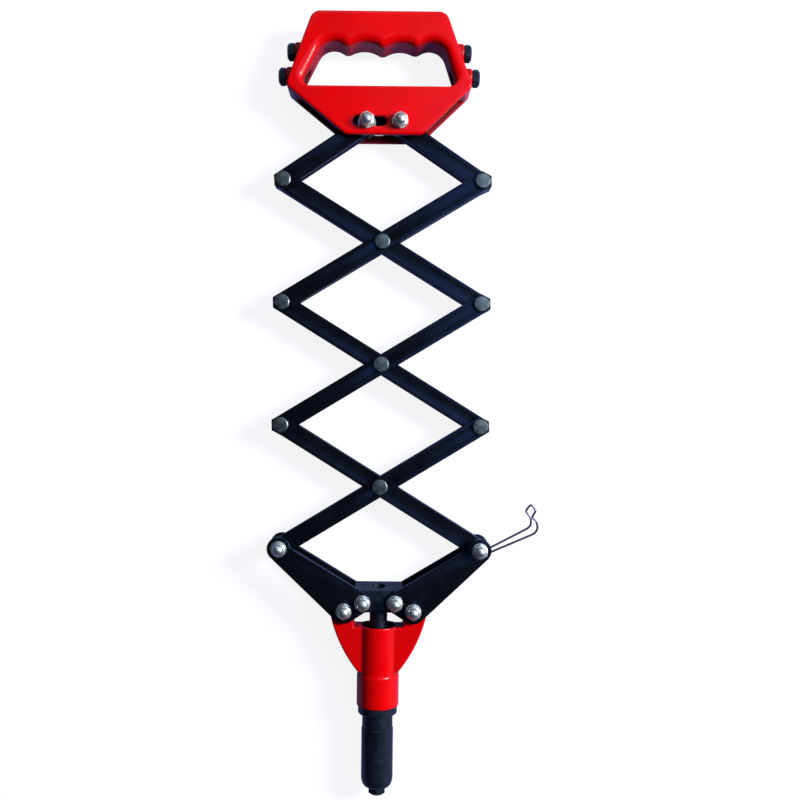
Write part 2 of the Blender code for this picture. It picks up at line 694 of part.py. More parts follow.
def make_body(body):
    """The casting that holds the levers' pivots, the puller and the nose."""
    lobe_x = PIVOT_SPREAD + WING_LOBE_SHIFT
    crown = arc(lobe_x, PIVOT_Y, WING_LOBE_RADIUS, WING_CROWN_START, math.pi, LOBE_STEPS // 2)
    edge = wing_edge((TUBE_RADIUS - GAP, WING_FOOT_Y), crown[0], WING_BOW, WING_STEPS)
    half = edge[:-1] + crown + [(NOTCH_HALF_WIDTH, TUBE_TOP_Y)]
    outline = half + [(-x, y) for x, y in reversed(half)]
    wings = plate("body_casting", [outline], -BODY_HALF_DEPTH, BODY_HALF_DEPTH, WING_EDGE)
    tube = along_y(turned("tube", [
        (0.0, TUBE_TOP_Y), (TUBE_RADIUS, TUBE_TOP_Y), (TUBE_RADIUS, TUBE_COLLAR_TOP_Y),
        (TUBE_COLLAR_RADIUS, TUBE_COLLAR_TOP_Y - SLIDE_GAP), (TUBE_COLLAR_RADIUS, TUBE_END_Y),
        (0.0, TUBE_END_Y),
    ], steps=ROUND_STEPS, collection="cutters"))
    mouth = TUBE_RADIUS - TUBE_MOUTH_WALL
    mouth_y = TUBE_TOP_Y - TUBE_MOUTH_DEPTH
    bore = along_y(turned("bore", [
        (0.0, PIVOT_Y), (mouth, PIVOT_Y), (mouth, mouth_y), (TUBE_BORE_RADIUS, mouth_y),
        (TUBE_BORE_RADIUS, 0.0), (0.0, 0.0),
    ], steps=ROUND_STEPS, collection="cutters"))
    combine(combine(wings, tube, "UNION"), bore, "DIFFERENCE")
    for side in (-1, 1):
        hole = plate("pivot_hole", [circle(side * PIVOT_SPREAD, PIVOT_Y, BOLT_HOLE_RADIUS)],
                     -BODY_HALF_DEPTH - GAP, BODY_HALF_DEPTH + GAP, collection="cutters")
        combine(wings, hole, "DIFFERENCE")
    carry(dress(wings, RED_ENAMEL), body)
    for side, name in ((-1, "left"), (1, "right")):
        make_bolt_and_nut(f"body_pivot_{name}", side * PIVOT_SPREAD, PIVOT_Y, body, FRONT_Z)


def nosepiece(name, bore_radius):
    """A nosepiece about Z: a chamfered hexagon head from 0 upwards, then its threaded stem."""
    head_top = NOSEPIECE_HEAD
    stem_top = head_top + NOSEPIECE_STEM_LENGTH
    corner = NOSEPIECE_FLATS / 2 / math.cos(math.radians(30)) + GAP
    stem = turned(name, [
        (0.0, stem_top), (NOSEPIECE_STEM_RADIUS, stem_top),
        (NOSEPIECE_STEM_RADIUS, head_top - NOSEPIECE_CHAMFER), (0.0, head_top - NOSEPIECE_CHAMFER),
    ])
    cone = turned("cone", [
        (0.0, head_top), (corner, head_top), (corner, NOSEPIECE_CHAMFER),
        (NOSEPIECE_TIP_RADIUS, 0.0), (0.0, 0.0),
    ], steps=LOBE_STEPS, collection="cutters")
    drill = turned("drill", [
        (0.0, stem_top + GAP), (bore_radius, stem_top + GAP), (bore_radius, -GAP), (0.0, -GAP),
    ], collection="cutters")
    hexagon = prism("hexagon", NOSEPIECE_FLATS, -GAP, head_top + GAP, collection="cutters")
    combine(cone, hexagon, "INTERSECT")
    combine(combine(stem, cone, "UNION"), drill, "DIFFERENCE")
    mesh = baked(stem)
    for guide in (cone, drill, hexagon):
        bpy.data.objects.remove(guide, do_unlink=True)
    return place(bpy.data.objects.new(name, mesh))


def make_nose(body):
    """The locking collar, the nose sleeve and the nosepiece that is fitted."""
    collar = along_y(ring("locking_collar", TUBE_BORE_RADIUS, COLLAR_RADIUS,
                          COLLAR_Y - COLLAR_THICKNESS, COLLAR_Y, ROUND_STEPS))
    step = SLEEVE_RADIUS - SLEEVE_STEP
    taper_y = SLEEVE_END_Y + SLEEVE_TAPER_LENGTH
    tip_bore = NOSEPIECE_STEM_RADIUS + GAP
    middle_y = SLEEVE_END_Y + SLEEVE_TAPER_LENGTH / 3
    sleeve = along_y(turned("nose_sleeve", [
        (SPIGOT_RADIUS, SLEEVE_SHOULDER_Y + SLEEVE_SPIGOT_LENGTH),
        (SPIGOT_RADIUS, SLEEVE_SHOULDER_Y), (step, SLEEVE_SHOULDER_Y),
        (step, SLEEVE_STEP_Y + SLEEVE_STEP), (SLEEVE_RADIUS, SLEEVE_STEP_Y),
        (SLEEVE_RADIUS, taper_y),
        (SLEEVE_MIDDLE_RADIUS, middle_y), (SLEEVE_TIP_RADIUS, SLEEVE_END_Y),
        (tip_bore, SLEEVE_END_Y), (tip_bore, SLEEVE_WALL_Y), (SLEEVE_BORE_RADIUS, SLEEVE_WALL_Y),
        (SLEEVE_BORE_RADIUS, SLEEVE_SHOULDER_Y + SLEEVE_SPIGOT_LENGTH),
    ], closed=True, steps=ROUND_STEPS))
    for side in (-1, 1):
        low = (-SLEEVE_RADIUS, SLEEVE_STEP_Y - SLEEVE_FLAT_LENGTH, SLEEVE_RADIUS - SLEEVE_FLAT_DEPTH)
        high = (SLEEVE_RADIUS, SLEEVE_STEP_Y - GAP, SLEEVE_RADIUS + GAP)
        flat = box("flat", low, high, "cutters")
        flat.rotation_euler = (0, SLEEVE_FLAT_TURN + (math.pi if side < 0 else 0.0), 0)
        combine(sleeve, flat, "DIFFERENCE")
    fitted = along_y(nosepiece("fitted_nosepiece", FITTED_BORE_RADIUS))
    for item in (collar, sleeve, fitted):
        carry(dress(item, BLACK_OXIDE), body)


def make_puller(body):
    """The puller head: a block with side slots for the levers' bolts, and its bored stem."""
    low = (-BLOCK_HALF_WIDTH, PIVOT_Y + BLOCK_BOTTOM, -BODY_HALF_DEPTH)
    high = (BLOCK_HALF_WIDTH, PIVOT_Y + BLOCK_TOP, BODY_HALF_DEPTH)
    block = bevel(box("puller_head", low, high), BLOCK_EDGE)
    stem = along_y(turned("stem", [
        (0.0, PIVOT_Y), (STEM_RADIUS + STEM_NECK_STEP, PIVOT_Y),
        (STEM_RADIUS + STEM_NECK_STEP, STEM_NECK_END_Y), (STEM_RADIUS, STEM_NECK_END_Y),
        (STEM_RADIUS, STEM_END_Y), (0.0, STEM_END_Y),
    ], steps=ROUND_STEPS, collection="cutters"))
    bore = along_y(turned("mandrel_bore", [
        (0.0, high[1] + GAP), (MANDREL_MOUTH_RADIUS, high[1] + GAP),
        (MANDREL_RADIUS, high[1] - MANDREL_RADIUS), (MANDREL_RADIUS, STEM_END_Y - GAP),
        (0.0, STEM_END_Y - GAP),
    ], collection="cutters"))
    combine(combine(block, stem, "UNION"), bore, "DIFFERENCE")
    for side in (-1, 1):
        root = SLOT_ROOT_X + SLOT_HALF_HEIGHT
        half = math.pi / 2
        outline = arc(root, PULL_Y, SLOT_HALF_HEIGHT, half, 3 * half, HOLE_STEPS // 2)
        outline += [(BLOCK_HALF_WIDTH + GAP, PULL_Y - SLOT_HALF_HEIGHT),
                    (BLOCK_HALF_WIDTH + GAP, PULL_Y + SLOT_HALF_HEIGHT)]
        outline = [(side * x, y) for x, y in outline]
        slot = plate("pin_slot", [outline], -BODY_HALF_DEPTH - GAP, BODY_HALF_DEPTH + GAP,
                     collection="cutters")
        combine(block, slot, "DIFFERENCE")
    carry(dress(block, BLACK_OXIDE), body)


def make_jaws(body):
    """The jaw case on the stem's end, with three jaws, their pusher and its spring."""
    front = JAW_CASE_FRONT_Y
    back = front + JAW_CASE_LENGTH
    inner = JAW_CASE_RADIUS - JAW_CASE_WALL
    cone_y = front + JAW_CONE_LENGTH
    thread = STEM_RADIUS + GAP
    case = along_y(turned("jaw_case", [
        (JAW_CASE_RADIUS, back), (JAW_CASE_RADIUS, front + RIVET_CHAMFER),
        (JAW_CASE_RADIUS - RIVET_CHAMFER, front), (JAW_CASE_MOUTH_RADIUS, front),
        (inner, cone_y), (inner, STEM_END_Y - RIVET_CHAMFER), (thread, STEM_END_Y - RIVET_CHAMFER),
        (thread, back),
    ], closed=True, steps=ROUND_STEPS))
    slope = (inner - JAW_CASE_MOUTH_RADIUS) / JAW_CONE_LENGTH
    jaw_low = front + RIVET_CHAMFER
    jaw_high = jaw_low + JAW_LENGTH
    low_radius = JAW_CASE_MOUTH_RADIUS + slope * RIVET_CHAMFER - GAP
    profile = [
        (low_radius + slope * JAW_LENGTH, jaw_high), (low_radius, jaw_low),
        (JAW_BORE_RADIUS, jaw_low), (JAW_BORE_RADIUS, jaw_high),
    ]
    half_split = JAW_SPLIT / 2
    share = 2 * math.pi / JAW_COUNT
    for i in range(JAW_COUNT):
        jaw = along_y(turned(f"jaw_{i + 1}", profile, closed=True, steps=ROUND_STEPS))
        for side in (-1, 1):
            saw = box("saw", (-JAW_CASE_RADIUS, jaw_low - GAP, -JAW_CASE_RADIUS),
                      (JAW_CASE_RADIUS, jaw_high + GAP, half_split), "cutters")
            saw.rotation_euler = (0, i * share + side * (math.pi - share) / 2, 0)
            combine(jaw, saw, "DIFFERENCE")
        carry(dress(jaw, BLACK_OXIDE), body)
    pusher_y = jaw_high + GAP
    pusher_top = pusher_y + PUSHER_LENGTH
    flange = inner - GAP
    pusher = along_y(turned("jaw_pusher", [
        (flange, pusher_top), (flange, pusher_top - PUSHER_FLANGE),
        (MANDREL_RADIUS + RIVET_CHAMFER, pusher_y), (JAW_BORE_RADIUS, pusher_y),
        (JAW_BORE_RADIUS, pusher_top),
    ], closed=True))
    start = pusher_top + GAP + SPRING_WIRE_RADIUS
    rise = STEM_END_Y - GAP - SPRING_WIRE_RADIUS - start
    coil = []
    for i in range(SPRING_TURNS * SPRING_POINTS + 1):
        turn = 2 * math.pi * i / SPRING_POINTS
        height = start + rise * i / (SPRING_TURNS * SPRING_POINTS)
        coil.append((SPRING_RADIUS * math.cos(turn), height, SPRING_RADIUS * math.sin(turn)))
    spring = wire("jaw_spring", coil, SPRING_WIRE_RADIUS, closed=False, sides=1)
    for item in (case, pusher):
        carry(dress(item, BLACK_OXIDE), body)
    carry(dress(spring, SPRING_STEEL), body)


def wire(name, points, radius, closed, sides=2):
    """A round wire through a list of points, as a welded mesh."""
    curve = bpy.data.curves.new(name, "CURVE")
    curve.dimensions = "3D"
    curve.bevel_depth = radius
    curve.bevel_resolution = sides
    curve.use_fill_caps = not closed
    spline = curve.splines.new("POLY")
    spline.points.add(len(points) - 1)
    for point, position in zip(spline.points, points):
        point.co = (*position, 1.0)
    spline.use_cyclic_u = closed
    drawn = place(bpy.data.objects.new(name + "_route", curve))
    return place(bpy.data.objects.new(name, baked(drawn)))


def smooth_loop(points, pieces=2):
    """Extra points on a smooth closed curve through the given ones."""
    count = len(points)
    smooth = []
    for i in range(count):
        a, b, c, d = (Vector(points[(i + step) % count]) for step in (-1, 0, 1, 2))
        for k in range(pieces):
            t = k / pieces
            smooth.append(
                0.5 * (2 * b + (c - a) * t + (2 * a - 5 * b + 4 * c - d) * t**2
                       + (3 * b - a - 3 * c + d) * t**3)
            )
    return smooth


def make_latch(body):
    """The wire latch: an eye on the lever's end bolt, two strands and a pinched hook."""
    height = BODY_HALF_DEPTH - LATCH_WIRE_RADIUS
    quarter = math.pi / 2
    eye = arc(0, 0, LATCH_EYE_RADIUS, LATCH_EYE_START, LATCH_LOWER_STRAND + 3 * quarter, EYE_STEPS)
    bends = smooth_loop([(x, y, 0.0) for x, y in LATCH_HOOK])[:-1]
    points = [Vector((x, y, 0.0)) for x, y in eye] + [Vector(point) for point in bends]
    points += [Vector((x, y, 0.0)) for x, y in LATCH_ROOT]
    latch = wire("wire_latch", points, LATCH_WIRE_RADIUS, closed=True)
    latch.location = (side_x(1), LEVER_END_Y, height)
    carry(dress(latch, SPRING_STEEL), body)


def upper_crossing(first, first_radius, second, second_radius):
    """The upper one of the two points where two circles cross."""
    span = second - first
    along = (first_radius**2 - second_radius**2 + span.length_squared) / (2 * span.length)
    across = math.sqrt(first_radius**2 - along**2)
    normal = span.orthogonal().normalized()
    if normal.y < 0:
        normal.negate()
    return first + span.normalized() * along + normal * across


def grip_side(height):
    """Half the grip's width at a height above its bolts, where its sides lean in."""
    share = (height - GRIP_WIDE) / (GRIP_TOP - GRIP_WIDE)
    return GRIP_WIDE_HALF_WIDTH + share * (GRIP_TOP_HALF_WIDTH - GRIP_WIDE_HALF_WIDTH)


def opening_outline(grow):
    """The finger opening with its four scallops, grown all round by a distance."""
    corner = OPENING_CORNER + grow
    corner_x = OPENING_HALF_WIDTH - OPENING_CORNER
    corner_y = OPENING_LOW + OPENING_CORNER
    circles = [
        (Vector((share * OPENING_HALF_WIDTH, y)), radius)
        for share, y, radius in zip(FINGER_SHARES, FINGER_HEIGHTS, FINGER_RADII)
    ]
    low = -math.pi / 2
    (first, first_radius), (last, last_radius) = circles[0], circles[-1]
    right_wall = tangent_normal((corner_x, corner_y), corner, first, first_radius + grow, -1)
    left_wall = tangent_normal(last, last_radius + grow, (-corner_x, corner_y), corner, -1)
    left_wall %= 2 * math.pi
    outline = arc(-corner_x, corner_y, corner, left_wall, low + 2 * math.pi, CORNER_STEPS)
    outline += arc(corner_x, corner_y, corner, low, right_wall, CORNER_STEPS)
    start = right_wall
    for (near, near_radius), (far, far_radius) in zip(circles, circles[1:]):
        blend = upper_crossing(near, near_radius + FINGER_BLEND, far, far_radius + FINGER_BLEND)
        from_near, from_far = blend - near, blend - far
        end = math.atan2(from_near.y, from_near.x)
        outline += arc(*near, near_radius + grow, start, end, FINGER_STEPS)[:-1]
        start = math.atan2(from_far.y, from_far.x)
        outline += arc(*blend, FINGER_BLEND - grow, end + math.pi, start + math.pi, CORNER_STEPS)[:-1]
    return outline + arc(*last, last_radius + grow, start, left_wall, FINGER_STEPS)


def opening_cutter():
    """The finger opening as a solid that flares towards both faces of the grip."""
    rims = [
        (OPENING_FLARE * (1 - math.cos(angle)),
         GRIP_HALF_DEPTH - OPENING_FLARE * (1 - math.sin(angle)))
        for angle in (math.pi / 2 * i / RIM_STEPS for i in range(RIM_STEPS))
    ]
    rims.append((OPENING_FLARE, GRIP_HALF_DEPTH + GAP))
    levels = [(grow, -height) for grow, height in reversed(rims)] + rims

    def build(shape):
        rings = [
            [shape.verts.new((x, y, height)) for x, y in opening_outline(grow)]
            for grow, height in levels
        ]
        shape.faces.new(rings[0][::-1])
        shape.faces.new(rings[-1])
        for lower, upper in zip(rings, rings[1:]):
            for i in range(len(lower)):
                shape.faces.new((lower[i - 1], lower[i], upper[i], upper[i - 1]))

    return mesh_object("finger_opening", build, "cutters")


def make_grip(bodies):
    """The grip casting, its bolts and the spare nosepieces on its sides."""
    body = bodies["grip"]
    corners = [
        (-GRIP_BOTTOM_HALF_WIDTH - GRIP_SHIFT, GRIP_BOTTOM),
        (GRIP_BOTTOM_HALF_WIDTH - GRIP_SHIFT, GRIP_BOTTOM),
        (GRIP_WIDE_HALF_WIDTH, GRIP_WIDE), (GRIP_TOP_HALF_WIDTH, GRIP_TOP),
        (-GRIP_TOP_HALF_WIDTH, GRIP_TOP), (-GRIP_WIDE_HALF_WIDTH, GRIP_WIDE),
    ]
    outline = rounded(corners, GRIP_CORNERS)
    grip = plate("grip_casting", [outline], -GRIP_HALF_DEPTH, GRIP_HALF_DEPTH, GRIP_EDGE)
    grip.location = (GRIP_SHIFT, GRIP_Y, 0.0)
    opening = opening_cutter()
    opening.location = grip.location
    slot_depth = BODY_HALF_DEPTH + GAP
    clevis_half = GRIP_WIDE_HALF_WIDTH + GRIP_EDGE
    clevis = box("clevis", (-clevis_half, GRIP_BOTTOM - GRIP_EDGE, -slot_depth),
                 (clevis_half, GRIP_CLEVIS_TOP, slot_depth), "cutters")
    clevis.location = grip.location
    holes = []
    for side in (-1, 1):
        for height, stand_out, depth in zip(BOSS_HEIGHTS, BOSS_STANDS, BOSS_HOLE_DEPTHS):
            reach = grip_side(height) + stand_out
            boss = prism("boss", BOSS_RADIUS * 2, reach - BOSS_DEPTH, reach, PIN_STEPS, "cutters")
            hole = prism("boss_hole", BOSS_HOLE_RADIUS * 2, reach - depth, reach + GAP, HOLE_STEPS,
                         "cutters")
            for item in (boss, hole):
                item.rotation_euler = (0, side * math.pi / 2, 0)
                item.location = (GRIP_SHIFT, GRIP_Y + height, 0.0)
            combine(grip, boss, "UNION")
            holes.append(hole)
    combine(combine(grip, opening, "DIFFERENCE"), clevis, "DIFFERENCE")
    for hole in holes:
        combine(grip, hole, "DIFFERENCE")
    depth = GRIP_HALF_DEPTH + GAP
    slot_corners = [
        (GRIP_SLOT_LOW, -GRIP_SLOT_HALF_HEIGHT), (GRIP_SLOT_HIGH, -GRIP_SLOT_HALF_HEIGHT),
        (GRIP_SLOT_HIGH, GRIP_SLOT_HALF_HEIGHT), (GRIP_SLOT_LOW, GRIP_SLOT_HALF_HEIGHT),
    ]
    slot_outline = rounded(slot_corners, [GRIP_SLOT_HALF_HEIGHT - GAP / 4] * len(slot_corners))
    bolt_slot = plate("bolt_slot", [slot_outline], -depth, depth, collection="cutters")
    bolt_hole = plate("bolt_hole", [circle(GRIP_BOLT_SPREAD - GRIP_SHIFT, 0, BOLT_HOLE_RADIUS)],
                      -depth, depth, collection="cutters")
    for cutter in (bolt_slot, bolt_hole):
        cutter.location = grip.location
        combine(grip, cutter, "DIFFERENCE")
    carry(dress(grip, RED_ENAMEL), body)
    for side, name, carrier, layers in (
        (1, "grip_fixed", body, FALLING_LAYERS),
        (-1, "grip_slot", bodies["link_left"], RISING_LAYERS),
    ):
        make_bolt_and_nut(name, side * GRIP_BOLT_SPREAD, GRIP_Y, carrier, GRIP_HALF_DEPTH,
                          GRIP_BOLT_HEAD_HEIGHT, spacer_heights(layers))
    number = 0
    for side in (-1, 1):
        for height, stand_out in zip(BOSS_HEIGHTS, BOSS_STANDS):
            reach = grip_side(height) + stand_out
            spare = nosepiece(f"spare_nosepiece_{number + 1}", SPARE_BORE_RADII[number])
            spare.rotation_euler = (0, -side * math.pi / 2, 0)
            spare.location = (
                GRIP_SHIFT + side * (reach + GAP + NOSEPIECE_HEAD), GRIP_Y + height, 0.0
            )
            carry(dress(spare, BLACK_OXIDE), body)
            number += 1


def make_bodies():
    """The empties on the joint axes, each under the body that it turns or slides on."""
    bodies = {"body": joint_axis("body_frame", 0.0, 0.0)}
    root = bodies["body"]
    bodies["puller"] = joint_axis("puller_slide", 0.0, PIVOT_Y, root)
    for side, name in ((-1, "left"), (1, "right")):
        bodies[f"lever_{name}"] = joint_axis(
            f"lever_{name}_pivot", side * PIVOT_SPREAD, PIVOT_Y, root
        )
    bodies["latch"] = joint_axis("latch_pivot", side_x(1), LEVER_END_Y, bodies["lever_right"])
    carrier = bodies["lever_left"]
    for stage, name in enumerate(STAGES):
        rising = joint_axis(f"{name}_rising_pivot", side_x(-1), node_y(stage), carrier)
        centre_y = node_y(stage) + STAGE_RISE / 2
        falling = joint_axis(f"{name}_falling_pivot", 0.0, centre_y, rising)
        bodies[f"{name}_rising"] = rising
        bodies[f"{name}_falling"] = falling
        carrier = falling
    top = node_y(len(STAGES))
    bodies["link_left"] = joint_axis("link_left_pivot", side_x(-1), top, bodies["upper_falling"])
    bodies["link_right"] = joint_axis("link_right_pivot", side_x(1), top, bodies["upper_rising"])
    bodies["grip"] = joint_axis("grip_pivot", GRIP_BOLT_SPREAD, GRIP_Y, bodies["link_right"])
    return bodies


def main():
    """Build the whole tool."""
    start_scene()
    bodies = make_bodies()
    make_body(bodies["body"])
    make_nose(bodies["body"])
    make_puller(bodies["puller"])
    make_jaws(bodies["puller"])
    make_levers(bodies)
    make_latch(bodies["latch"])
    make_arms(bodies)
    make_links(bodies)
    make_rivets(bodies)
    make_grip(bodies)


main()
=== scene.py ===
"""The looks of a lazy tong riveter: enamelled castings, satin black tongs and plated fasteners.

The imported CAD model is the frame, and each piece here rides on one of its bodies. The nose tip is
at the origin, the grip is towards +Y and the front face is up. All lengths are in metres.
"""

import json
import logging
import math
from collections.abc import Callable, Sequence
from dataclasses import dataclass, field
from enum import Enum

import bmesh
import bpy
from mathutils import Matrix, Vector
from mathutils.geometry import tessellate_polygon

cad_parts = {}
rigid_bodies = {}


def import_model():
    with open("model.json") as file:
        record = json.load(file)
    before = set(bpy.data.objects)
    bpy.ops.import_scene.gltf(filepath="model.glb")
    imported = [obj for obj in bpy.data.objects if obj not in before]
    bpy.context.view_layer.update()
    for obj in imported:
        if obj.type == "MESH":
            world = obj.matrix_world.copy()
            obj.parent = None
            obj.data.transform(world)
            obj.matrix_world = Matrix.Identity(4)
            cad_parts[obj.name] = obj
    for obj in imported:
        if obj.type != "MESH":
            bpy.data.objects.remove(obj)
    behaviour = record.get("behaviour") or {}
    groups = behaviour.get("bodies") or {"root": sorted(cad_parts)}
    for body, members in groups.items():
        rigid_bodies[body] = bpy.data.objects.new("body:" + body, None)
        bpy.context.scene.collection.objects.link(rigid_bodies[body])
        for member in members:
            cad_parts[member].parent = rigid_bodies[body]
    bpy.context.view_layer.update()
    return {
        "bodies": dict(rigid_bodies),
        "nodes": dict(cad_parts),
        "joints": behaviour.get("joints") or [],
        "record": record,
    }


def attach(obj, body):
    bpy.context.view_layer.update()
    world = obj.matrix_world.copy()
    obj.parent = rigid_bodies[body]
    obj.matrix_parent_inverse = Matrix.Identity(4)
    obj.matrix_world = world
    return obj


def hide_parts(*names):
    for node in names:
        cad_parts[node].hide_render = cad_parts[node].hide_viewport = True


LOG = logging.getLogger("lazy_tong_riveter")

FULL_TURN = 2 * math.pi
QUARTER_TURN = math.pi / 2

# Chords of a turned piece's ring, of a large one, and of a small hole's rim.
ROUND_STEPS = 48
LARGE_STEPS = 96
HOLE_STEPS = 24
# Rows of a thread's mesh in one turn.
THREAD_ROWS = 8

# Edges sharper than these angles stay sharp, on cut and turned pieces and on castings.
CREASE = math.radians(32)
CAST_CREASE = math.radians(40)

# How steeply a hexagon's corners are chamfered.
CHAMFER_SLOPE = math.tan(math.radians(30))

Point = tuple[float, float]
Outline = list[Point]
Growing = Callable[[float], Outline]
Item = bpy.types.Object
Tree = bpy.types.NodeTree
Socket = bpy.types.NodeSocket
Inputs = dict[str | int, object]

WHITE = (1.0, 1.0, 1.0, 1.0)


class Side(Enum):
    """The two sides of the tool, as the sign of X."""

    LEFT = -1
    RIGHT = 1


class Layer(Enum):
    """The flat layers of the tongs, from the back one to the front one."""

    BACK = 0
    MIDDLE_BACK = 1
    MIDDLE_FRONT = 2
    FRONT = 3


# --- Outlines ---


def arc(centre: Point, radius: float, start: float, end: float, steps: int) -> Outline:
    """Points on an arc.

    Args:
        centre: The arc's centre.
        radius: Its radius.
        start: The first angle, in radians.
        end: The last angle, in radians.
        steps: How many chords it has.

    Returns:
        One more point than there are chords.
    """
    x, y = centre
    turn = (end - start) / steps
    angles = [start + turn * i for i in range(steps + 1)]
    return [(x + radius * math.cos(angle), y + radius * math.sin(angle)) for angle in angles]


def circle(centre: Point, radius: float, steps: int = ROUND_STEPS) -> Outline:
    """A closed ring of points, anticlockwise."""
    return arc(centre, radius, 0.0, FULL_TURN, steps)[:-1]


def drilled(centre: Point, radius: float) -> Growing:
    """A small hole's outline, which can grow."""
    return lambda grow: circle(centre, radius + grow, HOLE_STEPS)


def rectangle(left: float, low: float, right: float, high: float) -> Outline:
    """A rectangle's corners, anticlockwise."""
    return [(left, low), (right, low), (right, high), (left, high)]


def rimmed(radius: float, low: float, high: float, rim: float) -> Outline:
    """The outer profile of a turned ring with chamfered rims, from the top down."""
    return [(radius - rim, high), (radius, high - rim), (radius, low + rim), (radius - rim, low)]


def with_mirror(right: Outline) -> Outline:
    """A symmetric outline from its right half, which runs upwards."""
    return right + [(-x, y) for x, y in reversed(right)]


def rounded(corners: Sequence[Point], radii: Sequence[float], steps: int = 8) -> Outline:
    """An anticlockwise outline with rounded corners.

    Args:
        corners: The sharp corners.
        radii: The radius at each corner.
        steps: How many chords each corner has.

    Returns:
        The points of the rounded outline.
    """
    outline: Outline = []
    for i, (corner, radius) in enumerate(zip(corners, radii)):
        here = Vector(corner)
        back = (Vector(corners[i - 1]) - here).normalized()
        ahead = (Vector(corners[(i + 1) % len(corners)]) - here).normalized()
        half = back.angle(ahead) / 2
        middle = here + (back + ahead).normalized() * radius / math.sin(half)
        reach = radius / math.tan(half)
        first = here + back * reach - middle
        last = here + ahead * reach - middle
        start = math.atan2(first.y, first.x)
        sweep = math.atan2(first.cross(last), first.dot(last))
        outline += arc((middle.x, middle.y), radius, start, start + sweep, steps)
    return outline


def grown(outline: Sequence[Point], distance: float) -> Outline:
    """An anticlockwise outline moved outwards, or inwards by a negative distance.

    Args:
        outline: The points to move.
        distance: How far each edge moves along its own normal.

    Returns:
        As many points, with mitred corners.
    """
    moved: Outline = []
    count = len(outline)
    for i, point in enumerate(outline):
        here = Vector(point)
        before = (here - Vector(outline[i - 1])).normalized()
        after = (Vector(outline[(i + 1) % count]) - here).normalized()
        first = Vector((before.y, -before.x))
        second = Vector((after.y, -after.x))
        shift = (first + second) * distance / (1 + first.dot(second))
        moved.append((point[0] + shift.x, point[1] + shift.y))
    return moved


def touching_normal(
    first: Point, first_radius: float, second: Point, second_radius: float, side: int
) -> float:
    """The angle of the normal of a line that touches two circles.

    Args:
        first: Centre of the first circle.
        first_radius: Its radius.
        second: Centre of the second circle.
        second_radius: Its radius.
        side: 1 for the line to the left of the way from first to second, -1 for the right.

    Returns:
        The normal's angle, in radians.
    """
    span = Vector(second) - Vector(first)
    lean = math.acos((first_radius - second_radius) / span.length)
    return math.atan2(span.y, span.x) + side * lean


def upper_crossing(
    first: Point, first_radius: float, second: Point, second_radius: float
) -> Vector:
    """The upper one of the two points where two circles cross."""
    start = Vector(first)
    span = Vector(second) - start
    along = (first_radius**2 - second_radius**2 + span.length_squared) / (2 * span.length)
    across = math.sqrt(first_radius**2 - along**2)
    normal = span.orthogonal().normalized()
    if normal.y < 0:
        normal.negate()
    return start + span.normalized() * along + normal * across


# --- Solids ---


def round_ring(radius: float, height: float, steps: int = ROUND_STEPS) -> list[Vector]:
    """A ring of points about Z."""
    return [Vector((x, y, height)) for x, y in circle((0.0, 0.0), radius, steps)]


def hexagon_ring(flats: float, height: float, chamfer_radius: float, drop: float) -> list[Vector]:
    """A hexagonal ring about Z whose corners may drop along a chamfer cone.

    Args:
        flats: The size across flats.
        height: The height of the ring inside the cone's radius.
        chamfer_radius: Where the cone starts.
        drop: How far the height changes for each metre outside that radius.

    Returns:
        The ring's points.
    """
    apothem = flats / 2
    sector = math.pi / 3
    ring = []
    for i in range(ROUND_STEPS):
        angle = FULL_TURN * i / ROUND_STEPS
        radius = apothem / math.cos((angle + sector / 2) % sector - sector / 2)
        fall = max(0.0, radius - chamfer_radius) * drop
        ring.append(Vector((radius * math.cos(angle), radius * math.sin(angle), height - fall)))
    return ring


